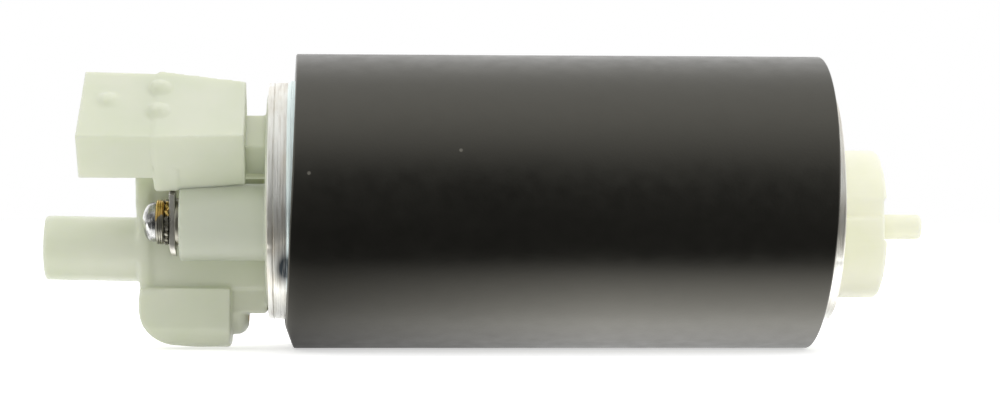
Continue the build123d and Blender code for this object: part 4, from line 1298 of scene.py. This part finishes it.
    def toothed_washer(self) -> None:
        """Makes the toothed washer, whose teeth are twisted out of its plane."""
        left, right, outer = self.span("toothed_washer")
        length, half, gap = self.tooth
        middle, root, bore = (left + right) / 2, outer - length, self.hole_r + self.play[0]
        front = [(-half, bore), (-half, root), (-half, outer - 0.3), (0.06 - half, outer)]
        profile = [(middle + x, r) for x, r in front] + [(middle - x, r) for x, r in reversed(front)]
        piece = self.lathe(self.teeth * 6).turn(self.node("tooth_washer"), profile)
        for vertex in piece.data.vertices:
            x, y, z = vertex.co.x / MM, vertex.co.y / MM - self.y, vertex.co.z / MM - self.z
            radius = math.hypot(y, z)
            share = (math.atan2(z, y) / (2 * math.pi) * self.teeth) % 1.0
            if radius > root + 0.05 and share < gap:
                shrink = (root + 0.02 + 0.1 * (radius - root)) / radius
                y, z = y * shrink, z * shrink
            elif radius > root + 0.05:
                x += (share - 0.67) / 0.33 * ((right - left) / 2 - half) * 0.95
            vertex.co = Vector((x, y + self.y, z + self.z)) * MM
        self.done(piece, "toothed_washer")

    def seat_washer(self) -> None:
        """Makes the plain washer under the strap."""
        left, right, outer = self.span("seat_washer")
        edge, bore = 0.12, self.hole_r + self.play[1]
        profile = ([(left, bore)] + corner(left + edge, outer - edge, edge, 180.0, 3)
                   + corner(right - edge, outer - edge, edge, 90.0, 3) + [(right, bore)])
        piece = self.lathe(72).turn(self.node("plain_washer"), profile)
        self.done(piece, "seat_washer")

    def strap(self) -> None:
        """Makes the strap with its blade: edges rounded by the press, and its tail bent against the well."""
        piece = copy_of(self.node("terminal"), self.node("terminal_strap"))
        front = self.side is Side.FRONT
        away = 1.0 if front else -1.0
        heights = [self.z - away * (self.tail_z + drop) for drop in self.tail_cuts]
        if front:
            heights += [self.hood_foot + rise for rise in self.hood_cuts]
        bpy.ops.object.mode_set(mode="EDIT")
        for height in heights:
            bpy.ops.mesh.select_all(action="SELECT")
            bpy.ops.mesh.bisect(plane_co=(0.0, 0.0, height * MM), plane_no=(0.0, 0.0, 1.0))
        bpy.ops.object.mode_set(mode="OBJECT")
        modify(piece, "BEVEL", width=self.press * MM, segments=3, limit_method="ANGLE",
               angle_limit=math.radians(40.0), use_clamp_overlap=True)
        bend, bent = self.tail_bend
        for vertex in piece.data.vertices:
            below, height = away * (self.z - vertex.co.z / MM) - self.tail_z, vertex.co.z / MM - self.hood_foot
            if below > 0.0:
                vertex.co.x += bend * min(1.0, below / bent) ** 2 * MM
            if front and height > 0.0:
                vertex.co.y = max(vertex.co.y, (self.hood_y - height * self.hood_slope) * MM)
        self.done(piece, "terminal")

    def done(self, piece: Piece, part: str, degrees: float = 30.0) -> None:
        """Shades a piece and lets it stand for its node, with varnish on the front locking washers."""
        smooth(piece, degrees)
        hand_over(piece, self.node(part), VARNISHED.get(self.node(part), ""))


VARNISHED = {node: "front_washer_steel" for node in ("front_spring_washer", "front_toothed_washer")}

MOULDINGS = (
    OutletCap("outlet_cap", "outlet_end_cap", voxel=0.27, passes=4, keep=0.45,
              soft_spots=(((-64.4, -5.3, 2.0), 3.0, 14), ((-64.4, -5.3, -3.0), 3.0, 14),
                          ((-64.4, -5.3, -8.0), 3.0, 14), ((-64.6, -5.6, -12.6), 3.2, 14))),
    ConnectorShell("connector_housing", "connector_shell", voxel=0.2, passes=6, keep=0.5,
                   soft_spots=(((-70.6, -12.8, 16.0), 2.6, 40), ((-62.9, -14.3, 13.7), 2.4, 26),
                               ((-62.9, -10.1, 17.4), 2.4, 26))),
    InletCover("inlet_cover", "inlet_end_cover", voxel=0.25, passes=4, keep=0.45),
)


def dress_node(name: str, slot: str) -> None:
    """Gives a CAD node the finish of its slot.

    Args:
        name: The node's name.
        slot: The slot's name in the record.
    """
    node = frame["nodes"][name]
    node.data.materials.clear()
    node.data.materials.append(FINISHES[slot].material())


def main() -> None:
    """Builds the studio, dresses the pump and makes its detailed pieces."""
    logging.basicConfig(level=logging.INFO, format="%(name)s: %(message)s")
    Camera().build()
    Studio().build()
    for node, slot in SLOTS.items():
        dress_node(node, slot)
    Sleeve().build()
    Can().build()
    for moulding in MOULDINGS:
        moulding.build()
    for side in Side:
        TerminalStack(side).build()


if __name__ == "__main__":
    main()
